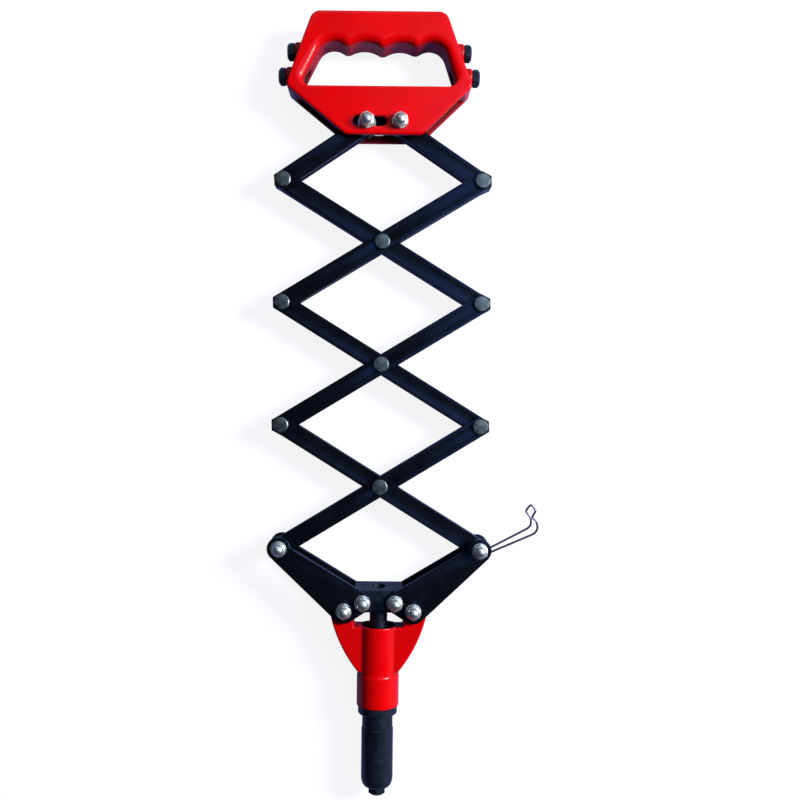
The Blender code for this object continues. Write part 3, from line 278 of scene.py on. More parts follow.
@dataclass
class Solid:
    """Points and faces of closed shells, before they become a Blender mesh.

    Attributes:
        points: The shells' points.
        faces: The faces, as indices of points.
    """

    points: list[Vector] = field(default_factory=list)
    faces: list[tuple[int, ...]] = field(default_factory=list)

    def add(self, other: "Solid") -> "Solid":
        """Take in another solid's shells and return this one."""
        shift = len(self.points)
        self.points += other.points
        self.faces += [tuple(index + shift for index in face) for face in other.faces]
        return self

    def moved(self, matrix: Matrix) -> "Solid":
        """A copy of the solid, moved by a matrix."""
        return Solid([matrix @ point for point in self.points], list(self.faces))

    @classmethod
    def lofted(cls, rings: Sequence[Sequence[Vector]], closed: bool = False) -> "Solid":
        """A shell over rings of equally many points.

        Args:
            rings: The rings, from the top one down the outside.
            closed: Whether the last ring joins the first; if not, both ends get a cap.

        Returns:
            The shell.
        """
        solid = cls([point for ring in rings for point in ring])
        count = len(rings[0])
        pairs = [(i, i + 1) for i in range(len(rings) - 1)]
        if closed:
            pairs.append((len(rings) - 1, 0))
        else:
            last = (len(rings) - 1) * count
            solid.faces.append(tuple(range(count)))
            solid.faces.append(tuple(last + i for i in reversed(range(count))))
        for upper, lower in pairs:
            for i in range(count):
                j = (i + 1) % count
                quad = (upper * count + i, lower * count + i, lower * count + j, upper * count + j)
                solid.faces.append(quad)
        return solid

    @classmethod
    def turned(cls, profile: Outline, closed: bool = False, steps: int = ROUND_STEPS) -> "Solid":
        """A piece turned about Z.

        Args:
            profile: (radius, height) points from the top down the outside.
            closed: Whether the profile is a closed loop, as of a tube.
            steps: How many points each ring has.

        Returns:
            The shell.
        """
        return cls.lofted([round_ring(radius, height, steps) for radius, height in profile], closed)

    @classmethod
    def threaded(
        cls, radius: float, low: float, high: float, pitch: float, depth: float
    ) -> "Solid":
        """A screw thread about Z.

        Args:
            radius: The thread's outer radius.
            low: The lower end.
            high: The upper end.
            pitch: The distance between two crests.
            depth: The depth of the grooves.

        Returns:
            The shell.
        """
        rows = round((high - low) / pitch * THREAD_ROWS)
        rings = []
        for row in range(rows + 1):
            height = high - (high - low) * row / rows
            ring = []
            for i in range(ROUND_STEPS):
                share = (height / pitch - i / ROUND_STEPS) % 1.0
                reach = radius - depth * abs(2 * share - 1)
                angle = FULL_TURN * i / ROUND_STEPS
                ring.append(Vector((reach * math.cos(angle), reach * math.sin(angle), height)))
            rings.append(ring)
        return cls.lofted(rings)

    @classmethod
    def slab(
        cls, outline: Outline, holes_at: Sequence[Growing], low: float, high: float,
        edge: float, hole_edge: float, segments: int = 4,
    ) -> "Solid":
        """A flat plate with rounded edges, and holes with rounded rims.

        Args:
            outline: The plate's outline, anticlockwise.
            holes_at: Give each hole's outline when it has grown by a distance.
            low: The lower face.
            high: The upper face.
            edge: The radius of the outer edges.
            hole_edge: The radius of the holes' rims.
            segments: How many chords each edge has.

        Returns:
            The shell.
        """

        def levels(radius: float) -> list[Point]:
            """Growth and height of the rings, from the lower face to the upper one."""
            upper = [
                (radius * (1 - math.cos(angle)), high - radius * (1 - math.sin(angle)))
                for angle in (QUARTER_TURN * i / segments for i in range(segments + 1))
            ]
            return [(grow, low + high - height) for grow, height in reversed(upper)] + upper

        solid = cls()
        ends: list[list[list[int]]] = [[], []]
        shapes = [(lambda grow: grown(outline, grow), edge, -1.0)]
        shapes += [(hole_at, hole_edge, 1.0) for hole_at in holes_at]
        for number, (shape_at, radius, sign) in enumerate(shapes):
            rings = []
            for grow, height in levels(radius):
                start = len(solid.points)
                ring = [Vector((x, y, height)) for x, y in shape_at(sign * grow)]
                solid.points += ring
                rings.append(list(range(start, start + len(ring))))
            for lower, upper in zip(rings, rings[1:]):
                for i in range(len(lower)):
                    face = (lower[i - 1], lower[i], upper[i], upper[i - 1])
                    solid.faces.append(face if number == 0 else face[::-1])
            ends[0].append(rings[0])
            ends[1].append(rings[-1])
        for rings in ends:
            flat = [index for ring in rings for index in ring]
            loops = [[solid.points[index] for index in ring] for ring in rings]
            for triangle in tessellate_polygon(loops):
                solid.faces.append(tuple(flat[corner] for corner in triangle))
        return solid

    def to_object(self, name: str) -> Item:
        """Make a Blender object of a name, and link it."""
        mesh = bpy.data.meshes.new(name)
        mesh.from_pydata(self.points, [], self.faces)
        shape = bmesh.new()
        shape.from_mesh(mesh)
        bmesh.ops.recalc_face_normals(shape, faces=shape.faces)
        shape.to_mesh(mesh)
        shape.free()
        item = bpy.data.objects.new(name, mesh)
        bpy.context.scene.collection.objects.link(item)
        return shade(item)


def shade(item: Item, crease: float = CREASE) -> Item:
    """Shade an object smooth, apart from edges sharper than the crease angle."""
    item.data.shade_smooth()
    item.data.set_sharp_from_angle(angle=crease)
    return item


def baked(item: Item) -> Item:
    """Turn an object's modifiers into its mesh."""
    bpy.context.view_layer.update()
    evaluated = item.evaluated_get(bpy.context.evaluated_depsgraph_get())
    mesh = bpy.data.meshes.new_from_object(evaluated)
    item.modifiers.clear()
    item.data = mesh
    return item


def carve(item: Item, tools: Sequence[Item], operation: str = "DIFFERENCE") -> None:
    """Cut tools out of an object, or join them to it, and delete them.

    Args:
        item: The object that stays.
        tools: The objects that go.
        operation: DIFFERENCE or UNION.
    """
    for tool in tools:
        modifier = item.modifiers.new("carve", "BOOLEAN")
        modifier.operation = operation
        modifier.object = tool
        modifier.solver = "EXACT"
    baked(item)
    for tool in tools:
        bpy.data.objects.remove(tool, do_unlink=True)


def cast_skin(item: Item, grain: float, passes: int) -> None:
    """Give a carved object the soft fillets of a casting.

    Args:
        item: The object.
        grain: The size of the new faces.
        passes: How often its edges are smoothed halfway.
    """
    remesh = item.modifiers.new("skin", "REMESH")
    remesh.mode = "VOXEL"
    remesh.voxel_size = grain
    soften = item.modifiers.new("soften", "SMOOTH")
    soften.factor = 0.5
    soften.iterations = passes
    shade(baked(item), CAST_CREASE)


# --- Finishes ---


def linear(colour: str) -> tuple[float, float, float, float]:
    """Turn an sRGB hex colour into Blender's linear one."""
    channels = []
    for i in (1, 3, 5):
        value = int(colour[i : i + 2], 16) / 255
        channels.append(value / 12.92 if value <= 0.04045 else ((value + 0.055) / 1.055) ** 2.4)
    return (channels[0], channels[1], channels[2], 1.0)


def set_inputs(tree: Tree, node: bpy.types.Node, inputs: Inputs) -> None:
    """Give a node's sockets their values, or link other nodes' sockets to them."""
    for name, value in inputs.items():
        if isinstance(value, Socket):
            tree.links.new(value, node.inputs[name])
        else:
            node.inputs[name].default_value = value


def add_node(
    tree: Tree, kind: str, output: str | int, inputs: Inputs | None = None, **settings: object
) -> Socket:
    """Add one node to a material or a world.

    Args:
        tree: The node tree.
        kind: The node's type, without its ShaderNode.
        output: The output to give back.
        inputs: Values for its sockets, or other nodes' sockets to link to them.
        settings: Properties to set on the node.

    Returns:
        The node's output.
    """
    node = tree.nodes.new(f"ShaderNode{kind}")
    for name, value in settings.items():
        setattr(node, name, value)
    set_inputs(tree, node, inputs or {})
    return node.outputs[output]


@dataclass(frozen=True)
class Finish:
    """A surface: what every finish has in common. Colours are in sRGB.

    Attributes:
        name: The material's name.
        slot: The record's material slot.
        look: What its pieces' names begin with.
        base: The surface's colour.
        shade_colour: The colour it drifts to in patches.
        worn_and_highlit: The colour of its lighter edges: rubbed through, and on the black enamel
            also a painted highlight.
        metallic: 1 for a metal, 0 for a paint.
        roughness: The mean roughness.
        roughness_swing: How far the roughness drifts to both sides.
        patch: The size of the patches.
        grain: The size of the bumps.
        bump: The height of the bumps.
        wear_and_highlight: How much of the edges turns to that colour, from 0 to 1.
        edge: The width of those lighter edges.
        ior: The index of refraction of a paint's gloss.
        gloss_tint: The colour that the gloss gives straight reflections.
        recess_shade: Painted shade: the colour deep in slots and hollow corners, where little open
            sky reaches; empty for none.
        recess_roughness: The roughness there.
        reach: How far a hollow's walls shade each other.
        hollow: The share of open sky where the painted shade is full and where it ends.
        turning: The agreement of the rounded normal with the flat one, off and on an edge.
        blotches: Where the noise turns from one colour to the other.
        drifting: Where the noise turns from the least roughness to the most.
        chips: Where the noise lets an unworn edge and a bare one through.
        wear_share: How far the full amount of lighter edges lowers the first of these.
    """

    name: str
    slot: str
    look: str
    base: str
    shade_colour: str
    worn_and_highlit: str
    metallic: float
    roughness: float
    roughness_swing: float
    patch: float
    grain: float
    bump: float
    wear_and_highlight: float
    edge: float
    ior: float = 1.5
    gloss_tint: str = "#FFFFFF"
    recess_shade: str = ""
    recess_roughness: float = 0.75
    reach: float = 0.03
    hollow: Point = (0.45, 0.95)
    turning: Point = (0.995, 0.90)
    blotches: Point = (0.35, 0.65)
    drifting: Point = (0.3, 0.7)
    chips: Point = (0.62, 0.66)
    wear_share: float = 0.25

    def build(self) -> bpy.types.Material:
        """Make the material once, and give the same one after that."""
        known = bpy.data.materials.get(self.name)
        if known is not None:
            return known
        material = bpy.data.materials.new(self.name)
        material.use_nodes = True
        tree = material.node_tree
        place = add_node(tree, "TexCoord", "Object")
        skin = self.colour(tree, place)
        roughness = self.gloss(tree, place)
        # Painted shade: the colour darkens, and the roughness turns matt, deep in slots and
        # corners.
        if self.recess_shade:
            skin, roughness = self.shaded_hollows(tree, skin, roughness)
        relief = {"Height": self.heights(tree, place), "Distance": self.bump, "Strength": 1.0}
        set_inputs(tree, tree.nodes["Principled BSDF"], {
            "Metallic": self.metallic, "IOR": self.ior, "Specular Tint": linear(self.gloss_tint),
            "Base Color": skin, "Roughness": roughness,
            "Normal": add_node(tree, "Bump", "Normal", relief),
        })
        return material

    def edges(self, tree: Tree) -> Socket:
        """1 on the edges and 0 on the faces: how far rounding the edges would turn the normal."""
        rounding = add_node(tree, "Bevel", "Normal", {"Radius": self.edge}, samples=4)
        flat = add_node(tree, "NewGeometry", "Normal")
        agree = add_node(
            tree, "VectorMath", "Value", {0: rounding, 1: flat}, operation="DOT_PRODUCT"
        )
        off, on = self.turning
        turned = {"Value": agree, "From Min": off, "From Max": on}
        return add_node(tree, "MapRange", "Result", turned)

    def colour(self, tree: Tree, place: Socket) -> Socket:
        """Patches of two colours, with the edges lighter in places: rubbed through, and on the
        black enamel also a painted highlight.
        """
        noise = {"Vector": place, "Scale": 1 / self.patch, "Detail": 4.0}
        patches = add_node(tree, "TexNoise", "Fac", noise)
        drift = {"Value": patches, "From Min": self.blotches[0], "From Max": self.blotches[1]}
        share = add_node(tree, "MapRange", "Result", drift)
        colours = {0: share, 6: linear(self.base), 7: linear(self.shade_colour)}
        skin = add_node(tree, "Mix", 2, colours, data_type="RGBA")
        noise = {"Vector": place, "Scale": 4 / self.patch, "Detail": 6.0}
        broken = add_node(tree, "TexNoise", "Fac", noise)
        first, last = self.chips
        chips = {"Value": broken, "From Min": first - self.wear_share * self.wear_and_highlight, "From Max": last}
        # Lighter edges in places: rubbed through, and on the black enamel also a painted edge
        # highlight.
        bare = {0: self.edges(tree), 1: add_node(tree, "MapRange", "Result", chips)}
        worn_and_highlit = add_node(tree, "Math", "Value", bare, operation="MULTIPLY")
        colours = {0: worn_and_highlit, 6: skin, 7: linear(self.worn_and_highlit)}
        return add_node(tree, "Mix", 2, colours, data_type="RGBA")

    def shaded_hollows(self, tree: Tree, skin: Socket, roughness: Socket) -> tuple[Socket, Socket]:
        """Colour darkened by painted shade, and roughness turned matt, deep in slots and corners.
        """
        openness = add_node(
            tree, "AmbientOcclusion", "AO", {"Distance": self.reach}, samples=6, only_local=True
        )
        deep, shallow = self.hollow
        open_share = {"Value": openness, "From Min": deep, "From Max": shallow}
        share = add_node(tree, "MapRange", "Result", open_share)
        colours = {0: share, 6: linear(self.recess_shade), 7: skin}
        colour = add_node(tree, "Mix", 2, colours, data_type="RGBA")
        matt = {0: share, 2: self.recess_roughness, 3: roughness}
        return colour, add_node(tree, "Mix", 0, matt)

    def gloss(self, tree: Tree, place: Socket) -> Socket:
        """Roughness that drifts over the surface."""
        noise = {"Vector": place, "Scale": 2 / self.patch, "Detail": 5.0}
        drift = {
            "Value": add_node(tree, "TexNoise", "Fac", noise),
            "From Min": self.drifting[0],
            "From Max": self.drifting[1],
            "To Min": self.roughness - self.roughness_swing,
            "To Max": self.roughness + self.roughness_swing,
        }
        return add_node(tree, "MapRange", "Result", drift)

    def heights(self, tree: Tree, place: Socket) -> Socket:
        """The pattern of the bumps."""
        noise = {"Vector": place, "Scale": 1 / self.grain, "Detail": 2.0}
        return add_node(tree, "TexNoise", "Fac", noise)


@dataclass(frozen=True)
class TurnedFinish(Finish):
    """A surface with the fine rings that a lathe leaves.

    Attributes:
        axis: The axis that the piece was turned about.
        pitch: The distance between two rings.
        waver: How far noise bends the rings.
    """

    axis: str = "Y"
    pitch: float = 0.0006
    waver: float = 1.5

    def heights(self, tree: Tree, place: Socket) -> Socket:
        """Rings along the axis, broken up by noise."""
        scale = 0.1 * math.pi / self.pitch  # at a scale of 1, bands are 0.1 pi apart
        bands = {"Vector": place, "Scale": scale, "Distortion": self.waver}
        rings = add_node(
            tree, "TexWave", "Fac", bands, wave_type="BANDS", bands_direction=self.axis
        )
        noise = {"Vector": place, "Scale": 1 / self.grain, "Detail": 3.0}
        both = {0: rings, 1: add_node(tree, "TexNoise", "Fac", noise)}
        return add_node(tree, "Math", "Value", both, operation="ADD")


# Polyester powder enamel, sprayed on a light-alloy casting: a deep warm red under a wet gloss,
# with the long soft waves of orange peel, matt and darkened nearly black by painted shade deep in
# its slots.
RED_ENAMEL = Finish(
    name="red_powder_enamel", slot="red_enamel", look="enamelled",
    base="#DC0204", shade_colour="#CE0106", worn_and_highlit="#E8301E", recess_shade="#38040C",
    metallic=0.0, roughness=0.2, roughness_swing=0.05, ior=1.33,
    patch=0.03, grain=0.0022, bump=0.00002, wear_and_highlight=0.3, edge=0.0005,
)

# Satin black stove enamel on sheared and punched steel bar: near-black, with a fine even grit, a
# blue cast in its gloss, and edges a little brighter: rubbed, and also a painted edge highlight.
BLACK_ENAMEL = Finish(
    name="satin_black_enamel", slot="black_paint", look="enamelled",
    base="#08090B", shade_colour="#0C0E12", worn_and_highlit="#33363D", gloss_tint="#7FA4E8",
    metallic=0.0, roughness=0.26, roughness_swing=0.06, ior=1.52,
    patch=0.018, grain=0.0006, bump=0.00002, wear_and_highlight=0.6, edge=0.0005,
)

# Black oxide on turned steel: an oily blue-black that lets the lathe's rings show.
BLACK_OXIDE = TurnedFinish(
    name="black_oxide_steel", slot="black_oxide", look="blackened",
    base="#1B222E", shade_colour="#262F40", worn_and_highlit="#565D6A",
    metallic=0.6, roughness=0.34, roughness_swing=0.08,
    patch=0.008, grain=0.0005, bump=0.00002, wear_and_highlight=0.7, edge=0.0004,
)

# Bright zinc plate on cold-headed steel: a silvery skin, a little milky, with handling marks.
ZINC_PLATE = Finish(
    name="bright_zinc_plate", slot="zinc_plate", look="plated",
    base="#E6ECE4", shade_colour="#BEC4C2", worn_and_highlit="#F0F2F2",
    metallic=1.0, roughness=0.4, roughness_swing=0.05,
    patch=0.006, grain=0.0012, bump=0.000006, wear_and_highlight=0.2, edge=0.0003,
)

# Plain rivet steel, tumbled and oiled: a neutral grey, darker than the plated nuts.
RIVET_STEEL = Finish(
    name="oiled_rivet_steel", slot="rivet_steel", look="steel",
    base="#8C9490", shade_colour="#6C7470", worn_and_highlit="#B8BCBA",
    metallic=1.0, roughness=0.34, roughness_swing=0.1,
    patch=0.004, grain=0.0007, bump=0.00003, wear_and_highlight=0.8, edge=0.0004,
)

# Drawn spring wire, blued: violet-grey with a soft metallic line along it.
SPRING_WIRE = Finish(
    name="drawn_spring_wire", slot="spring_steel", look="drawn",
    base="#6E6A80", shade_colour="#545064", worn_and_highlit="#8E8C9A",
    metallic=0.8, roughness=0.3, roughness_swing=0.06,
    patch=0.006, grain=0.0004, bump=0.00001, wear_and_highlight=0.5, edge=0.0002,
)


def dressed(item: Item, finish: Finish, body: str, nodes: Sequence[str]) -> None:
    """Give a piece its finish, its body and the CAD nodes that it stands for.

    Args:
        item: The piece.
        finish: Its surface.
        body: The CAD body that it rides on.
        nodes: The CAD nodes that it replaces.
    """
    item.data.materials.clear()
    item.data.materials.append(finish.build())
    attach(item, body)
    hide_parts(*nodes)
    LOG.info("%s rides on %s with %s", item.name, body, finish.name)


def put(solid: Solid, node: str, place: Point, finish: Finish, body: str) -> None:
    """Make a solid the piece that stands for a CAD node.

    Args:
        solid: The piece's solid, about its own origin.
        node: The CAD node that it replaces.
        place: X and Y of its origin.
        finish: Its surface.
        body: The CAD body that it rides on.
    """
    item = solid.to_object(f"{finish.look}_{node}")
    item.location = (*place, 0.0)
    dressed(item, finish, body, [node])


# --- The tool's layout, shared by its sub-assemblies ---


@dataclass(frozen=True)
class Layout:
    """The driving sizes of the linkage, and the places that follow from them.

    Attributes:
        gap: Play between neighbouring pieces.
        arm_pitch: From an arm's middle rivet to its end rivets.
        arm_angle: The arms' angle at rest.
        arm_thickness: Thickness of an arm.
        link_pitch: From the top side rivets to the grip's bolts.
        grip_spread: From the centre line to a grip bolt.
        pivot_spread: From the centre line to a lever's pivot.
        pivot_y: The levers' pivots above the nose tip.
        lever_rise: The levers' ends above their pivots.
        pull_radius: From a lever's pivot to its pull pin.
        pull_angle: The angle of that line at rest.
        body_half_depth: Half the depth of the body casting and the puller.
        plate_thickness: Thickness of a lever plate.
        bolt_head: Height of the rear bolt heads.
    """

    gap: float = 0.0003
    arm_pitch: float = 0.0775
    arm_angle: float = math.radians(31.6)
    arm_thickness: float = 0.003
    link_pitch: float = 0.0665
    grip_spread: float = 0.011
    pivot_spread: float = 0.0228
    pivot_y: float = 0.1239
    lever_rise: float = 0.0403
    pull_radius: float = 0.0133
    pull_angle: float = math.radians(24.0)
    body_half_depth: float = 0.0087
    plate_thickness: float = 0.003
    bolt_head: float = 0.004

    @property
    def end_x(self) -> float:
        """X of the right-hand rivets and lever end."""
        return self.arm_pitch * math.cos(self.arm_angle)

    @property
    def end_y(self) -> float:
        """Y of the levers' ends."""
        return self.pivot_y + self.lever_rise

    @property
    def stage_rise(self) -> float:
        """The height of one stage of the tongs."""
        return 2 * self.arm_pitch * math.sin(self.arm_angle)

    @property
    def link_rise(self) -> float:
        """The height of the links below the grip."""
        return math.sqrt(self.link_pitch**2 - (self.end_x - self.grip_spread) ** 2)

    @property
    def grip_y(self) -> float:
        """Y of the grip's bolts."""
        return self.end_y + len(TongStage) * self.stage_rise + self.link_rise

    @property
    def front(self) -> float:
        """Z of the lever plates' front faces."""
        return self.body_half_depth + self.gap + self.plate_thickness

    @property
    def rest(self) -> float:
        """Z of the plane that the rear bolt heads lie on."""
        return -(self.front + self.gap + self.bolt_head)

    @property
    def stack_half(self) -> float:
        """Half the depth of the four layers of arms."""
        return 2 * (self.arm_thickness + self.gap) - self.gap / 2

    @property
    def pull_place(self) -> Point:
        """The right pull pin's place."""
        return (
            self.pivot_spread - self.pull_radius * math.cos(self.pull_angle),
            self.pivot_y + self.pull_radius * math.sin(self.pull_angle),
        )

    def layer(self, layer: Layer) -> Point:
        """The lower and upper face of a layer of arms."""
        low = (layer.value - 2) * (self.arm_thickness + self.gap) + self.gap / 2
        return low, low + self.arm_thickness

    def node_y(self, stage: int) -> float:
        """Y of the side rivets below a stage, counted from 0."""
        return self.end_y + stage * self.stage_rise


class TongStage(Enum):
    """The stages of the tongs, from the levers up."""

    LOWER = 0
    MIDDLE = 1
    UPPER = 2


class Slope(Enum):
    """The two arms of a stage, by the sign of their slope."""

    RISING = 1
    FALLING = -1

    @property
    def layers(self) -> tuple[Layer, Layer]:
        """The rear and the front layer of such an arm."""
        if self is Slope.RISING:
            return (Layer.MIDDLE_BACK, Layer.FRONT)
        return (Layer.BACK, Layer.MIDDLE_FRONT)


# The names of an arm's two layers, in the order of Slope.layers.
FACES = ("rear", "front")


@dataclass(frozen=True)
class Assembly:
    """A sub-assembly of the tool.

    Attributes:
        layout: The tool's layout.
    """

    layout: Layout


# --- Fasteners ---


@dataclass(frozen=True)
class Fasteners(Assembly):
    """Bolts, dome nuts, washers and rivets of the whole tool.

    Attributes:
        shank: Radius of the bolts.
        spacer: Radius of the spacer collars.
        flats: Size across flats of the heads.
        nut_flats: Size across flats of the nuts.
        face_share: The flat end faces' share of that size.
        washer_radius: Radius of the washers.
        washer: Thickness of the washers.
        nut_height: Height of a nut's hexagon.
        dome_radius: Radius of a nut's dome.
        dome_height: Height of the dome above the hexagon.
        rivet_shank: Radius of the rivets.
        rivet_head: Radius of the rivets' heads.
        rivet_height: Height of the rivets' heads.
        rivet_chamfer: Width of the heads' turned edge.
        crown: How far the middle of a rivet's head stands above its chamfer.
    """

    shank: float = 0.003
    spacer: float = 0.006
    flats: float = 0.010
    nut_flats: float = 0.0088
    face_share: float = 0.96
    washer_radius: float = 0.0053
    washer: float = 0.001
    nut_height: float = 0.004
    dome_radius: float = 0.0038
    dome_height: float = 0.003
    rivet_shank: float = 0.0025
    rivet_head: float = 0.0051
    rivet_height: float = 0.002
    rivet_chamfer: float = 0.0006
    crown: float = 0.00015

    def hexagon(self, flats: float, low: float, high: float) -> Solid:
        """A hexagon with its corners chamfered at both ends."""
        face = flats / 2 * self.face_share
        return Solid.lofted([
            round_ring(face, high), hexagon_ring(flats, high, face, CHAMFER_SLOPE),
            hexagon_ring(flats, low, face, -CHAMFER_SLOPE), round_ring(face, low),
        ])

    def bolt(self, tip: float, head_height: float, collars: Sequence[Point]) -> Solid:
        """A hexagon bolt, head down on the rest plane.

        Args:
            tip: Z of the shank's end.
            head_height: Height of the head.
            collars: Lower and upper Z of each spacer collar.

        Returns:
            The bolt's solid.
        """
        seat = self.layout.rest + head_height
        bolt = self.hexagon(self.flats, self.layout.rest, seat)
        bolt.add(Solid.turned([(self.shank, tip), (self.shank, seat - head_height / 2)]))
        for low, high in collars:
            bolt.add(Solid.turned(rimmed(self.spacer, low, high, self.layout.gap / 2)))
        return bolt

    def dome_nut(self, face: float) -> Solid:
        """A washer, a hexagon and a dome, which stand on a face."""
        low = face + self.layout.gap
        seat = low + self.washer
        shoulder = seat + self.nut_height
        rim = self.layout.gap / 2
        angles = [math.radians(degrees) for degrees in range(84, -1, -12)]
        dome = [
            (self.dome_radius * math.cos(angle), shoulder + self.dome_height * math.sin(angle))
            for angle in angles
        ]
        nut = Solid.turned(rimmed(self.washer_radius, low, seat, rim))
        nut.add(self.hexagon(self.nut_flats, seat, shoulder))
        return nut.add(Solid.turned(dome + [(self.dome_radius, seat + rim)]))

    def rivet(self) -> Solid:
        """A rivet with two flat heads, a little crowned, with a turned edge."""
        seat = self.layout.stack_half + self.layout.gap
        top = seat + self.rivet_height
        rim = self.rivet_head - self.rivet_chamfer
        upper = [
            (rim * 0.15, top), (rim * 0.6, top - self.crown * 0.3), (rim, top - self.crown),
            (self.rivet_head, top - self.rivet_chamfer), (self.rivet_head, seat),
            (self.rivet_shank, seat),
        ]
        lower = [(radius, -height) for radius, height in reversed(upper)]
        return Solid.turned(upper + lower)

    def spacers(self, layers: Sequence[Layer], room: float = 0.0) -> list[Point]:
        """The collars that fill what an arm leaves free of a bolt between two plates.

        Args:
            layers: The layers that the arm fills.
            room: What stays free under the front plate.

        Returns:
            Lower and upper Z of each collar.
        """
        gap = self.layout.gap
        top = self.layout.body_half_depth + gap
        filled = [height for layer in layers for height in self.layout.layer(layer)]
        stops = [-top] + filled + [top - room]
        return [(low + gap, high - gap) for low, high in zip(stops[0::2], stops[1::2])]

    def fit(
        self, name: str, place: Point, face: float, body: str,
        head_height: float | None = None, collars: Sequence[Point] = (),
    ) -> None:
        """Put a bolt and its dome nut in place of their CAD nodes.

        Args:
            name: The nodes' common name.
            place: X and Y of the bolt.
            face: Z of the face under the nut's washer.
            body: The CAD body that they ride on.
            head_height: Height of the bolt's head.
            collars: Lower and upper Z of each spacer collar.
        """
        height = self.layout.bolt_head if head_height is None else head_height
        tip = face + self.washer + self.nut_height
        put(self.bolt(tip, height, collars), f"{name}_bolt", place, ZINC_PLATE, body)
        put(self.dome_nut(face), f"{name}_dome_nut", place, ZINC_PLATE, body)

    def fit_pull_pin(self, name: str, place: Point, body: str) -> None:
        """Put a pull pin, one solid with its nut, in place of its CAD node."""
        face = self.layout.front
        pin = self.bolt(face + self.washer + self.nut_height, self.layout.bolt_head, ())
        put(pin.add(self.dome_nut(face)), name, place, ZINC_PLATE, body)


@dataclass(frozen=True)
class BoltedAssembly(Assembly):
    """A sub-assembly that is held by bolts or rivets.

    Attributes:
        fasteners: The tool's fasteners.
    """

    fasteners: Fasteners


# --- Tongs and levers ---


@dataclass(frozen=True)
class Tongs(BoltedAssembly):
    """The arms of the tongs, the links below the grip, and their rivets.

    Attributes:
        width: Width of an arm.
        edge: Radius of an arm's rubbed edges.
        hole: Radius of the rivets' holes.
        bolt_hole: Radius of the bolts' holes.
        loose_hole: Radius where the right lever's end bolt wanders in the lower falling arms.
        segments: Chords of each rounded edge and corner.
    """

    width: float = 0.012
    edge: float = 0.0004
    hole: float = 0.0028
    bolt_hole: float = 0.0033
    loose_hole: float = 0.0050
    segments: int = 3

    def bar(
        self, half_length: float, holes: Sequence[Point], layer: Layer, angle: float
    ) -> Solid:
        """A flat bar with half-hexagon ends, about its middle.

        Args:
            half_length: From its middle to its end holes.
            holes: Place along the bar and radius of each hole.
            layer: The layer that it lies in.
            angle: Its turn from X.

        Returns:
            The bar's solid.
        """
        half, slant = self.width / 2, math.radians(30)
        shoulder = half_length + half * math.tan(slant)
        point = half_length + half / math.cos(slant)
        corners = [
            (point, 0.0), (shoulder, half), (-shoulder, half),
            (-point, 0.0), (-shoulder, -half), (shoulder, -half),
        ]
        outline = rounded(corners, [self.edge] * len(corners), self.segments)
        rims = [drilled((x, 0.0), radius) for x, radius in holes]
        low, high = self.layout.layer(layer)
        bar = Solid.slab(
            outline, rims, low, high, self.edge * 3 / 4, self.edge / 2, self.segments
        )
        return bar.moved(Matrix.Rotation(angle, 4, "Z"))

    def build_arms(self) -> None:
        """The twelve full arms."""
        for stage in TongStage:
            middle = (0.0, self.layout.node_y(stage.value) + self.layout.stage_rise / 2)
            for slope in Slope:
                body = f"{stage.name}_{slope.name}".lower()
                foot = self.hole
                if stage is TongStage.LOWER:
                    foot = self.bolt_hole if slope is Slope.RISING else self.loose_hole
                low_end = -slope.value * self.layout.arm_pitch
                holes = [(low_end, foot), (0.0, self.hole), (-low_end, self.hole)]
                angle = slope.value * self.layout.arm_angle
                for layer, face in zip(slope.layers, FACES):
                    bar = self.bar(self.layout.arm_pitch, holes, layer, angle)
                    put(bar, f"{body}_arm_{face}", middle, BLACK_ENAMEL, body)

    def build_links(self) -> None:
        """The four links from the top rivets to the grip."""
        half = self.layout.link_pitch / 2
        angle = math.asin(self.layout.link_rise / self.layout.link_pitch)
        top = self.layout.node_y(len(TongStage))
        for side, slope in ((Side.LEFT, Slope.RISING), (Side.RIGHT, Slope.FALLING)):
            sign = side.value
            name = side.name.lower()
            middle = (
                sign * (self.layout.end_x + self.layout.grip_spread) / 2,
                top + self.layout.link_rise / 2,
            )
            holes = [(sign * half, self.hole), (-sign * half, self.bolt_hole)]
            for layer, face in zip(slope.layers, FACES):
                bar = self.bar(half, holes, layer, -sign * angle)
                put(bar, f"grip_link_{name}_{face}", middle, BLACK_ENAMEL, f"link_{name}")

    def build_rivets(self) -> None:
        """The nine rivets."""
        for stage in TongStage:
            name = stage.name.lower()
            middle_y = self.layout.node_y(stage.value) + self.layout.stage_rise / 2
            top_y = self.layout.node_y(stage.value + 1)
            for kind, place, body in (
                ("centre", (0.0, middle_y), f"{name}_rising"),
                ("right", (self.layout.end_x, top_y), f"{name}_rising"),
                ("left", (-self.layout.end_x, top_y), f"{name}_falling"),
            ):
                rivet = self.fasteners.rivet()
                put(rivet, f"{name}_{kind}_rivet", place, RIVET_STEEL, body)

    def build(self) -> None:
        """Build arms, links and rivets."""
        self.build_arms()
        self.build_links()
        self.build_rivets()


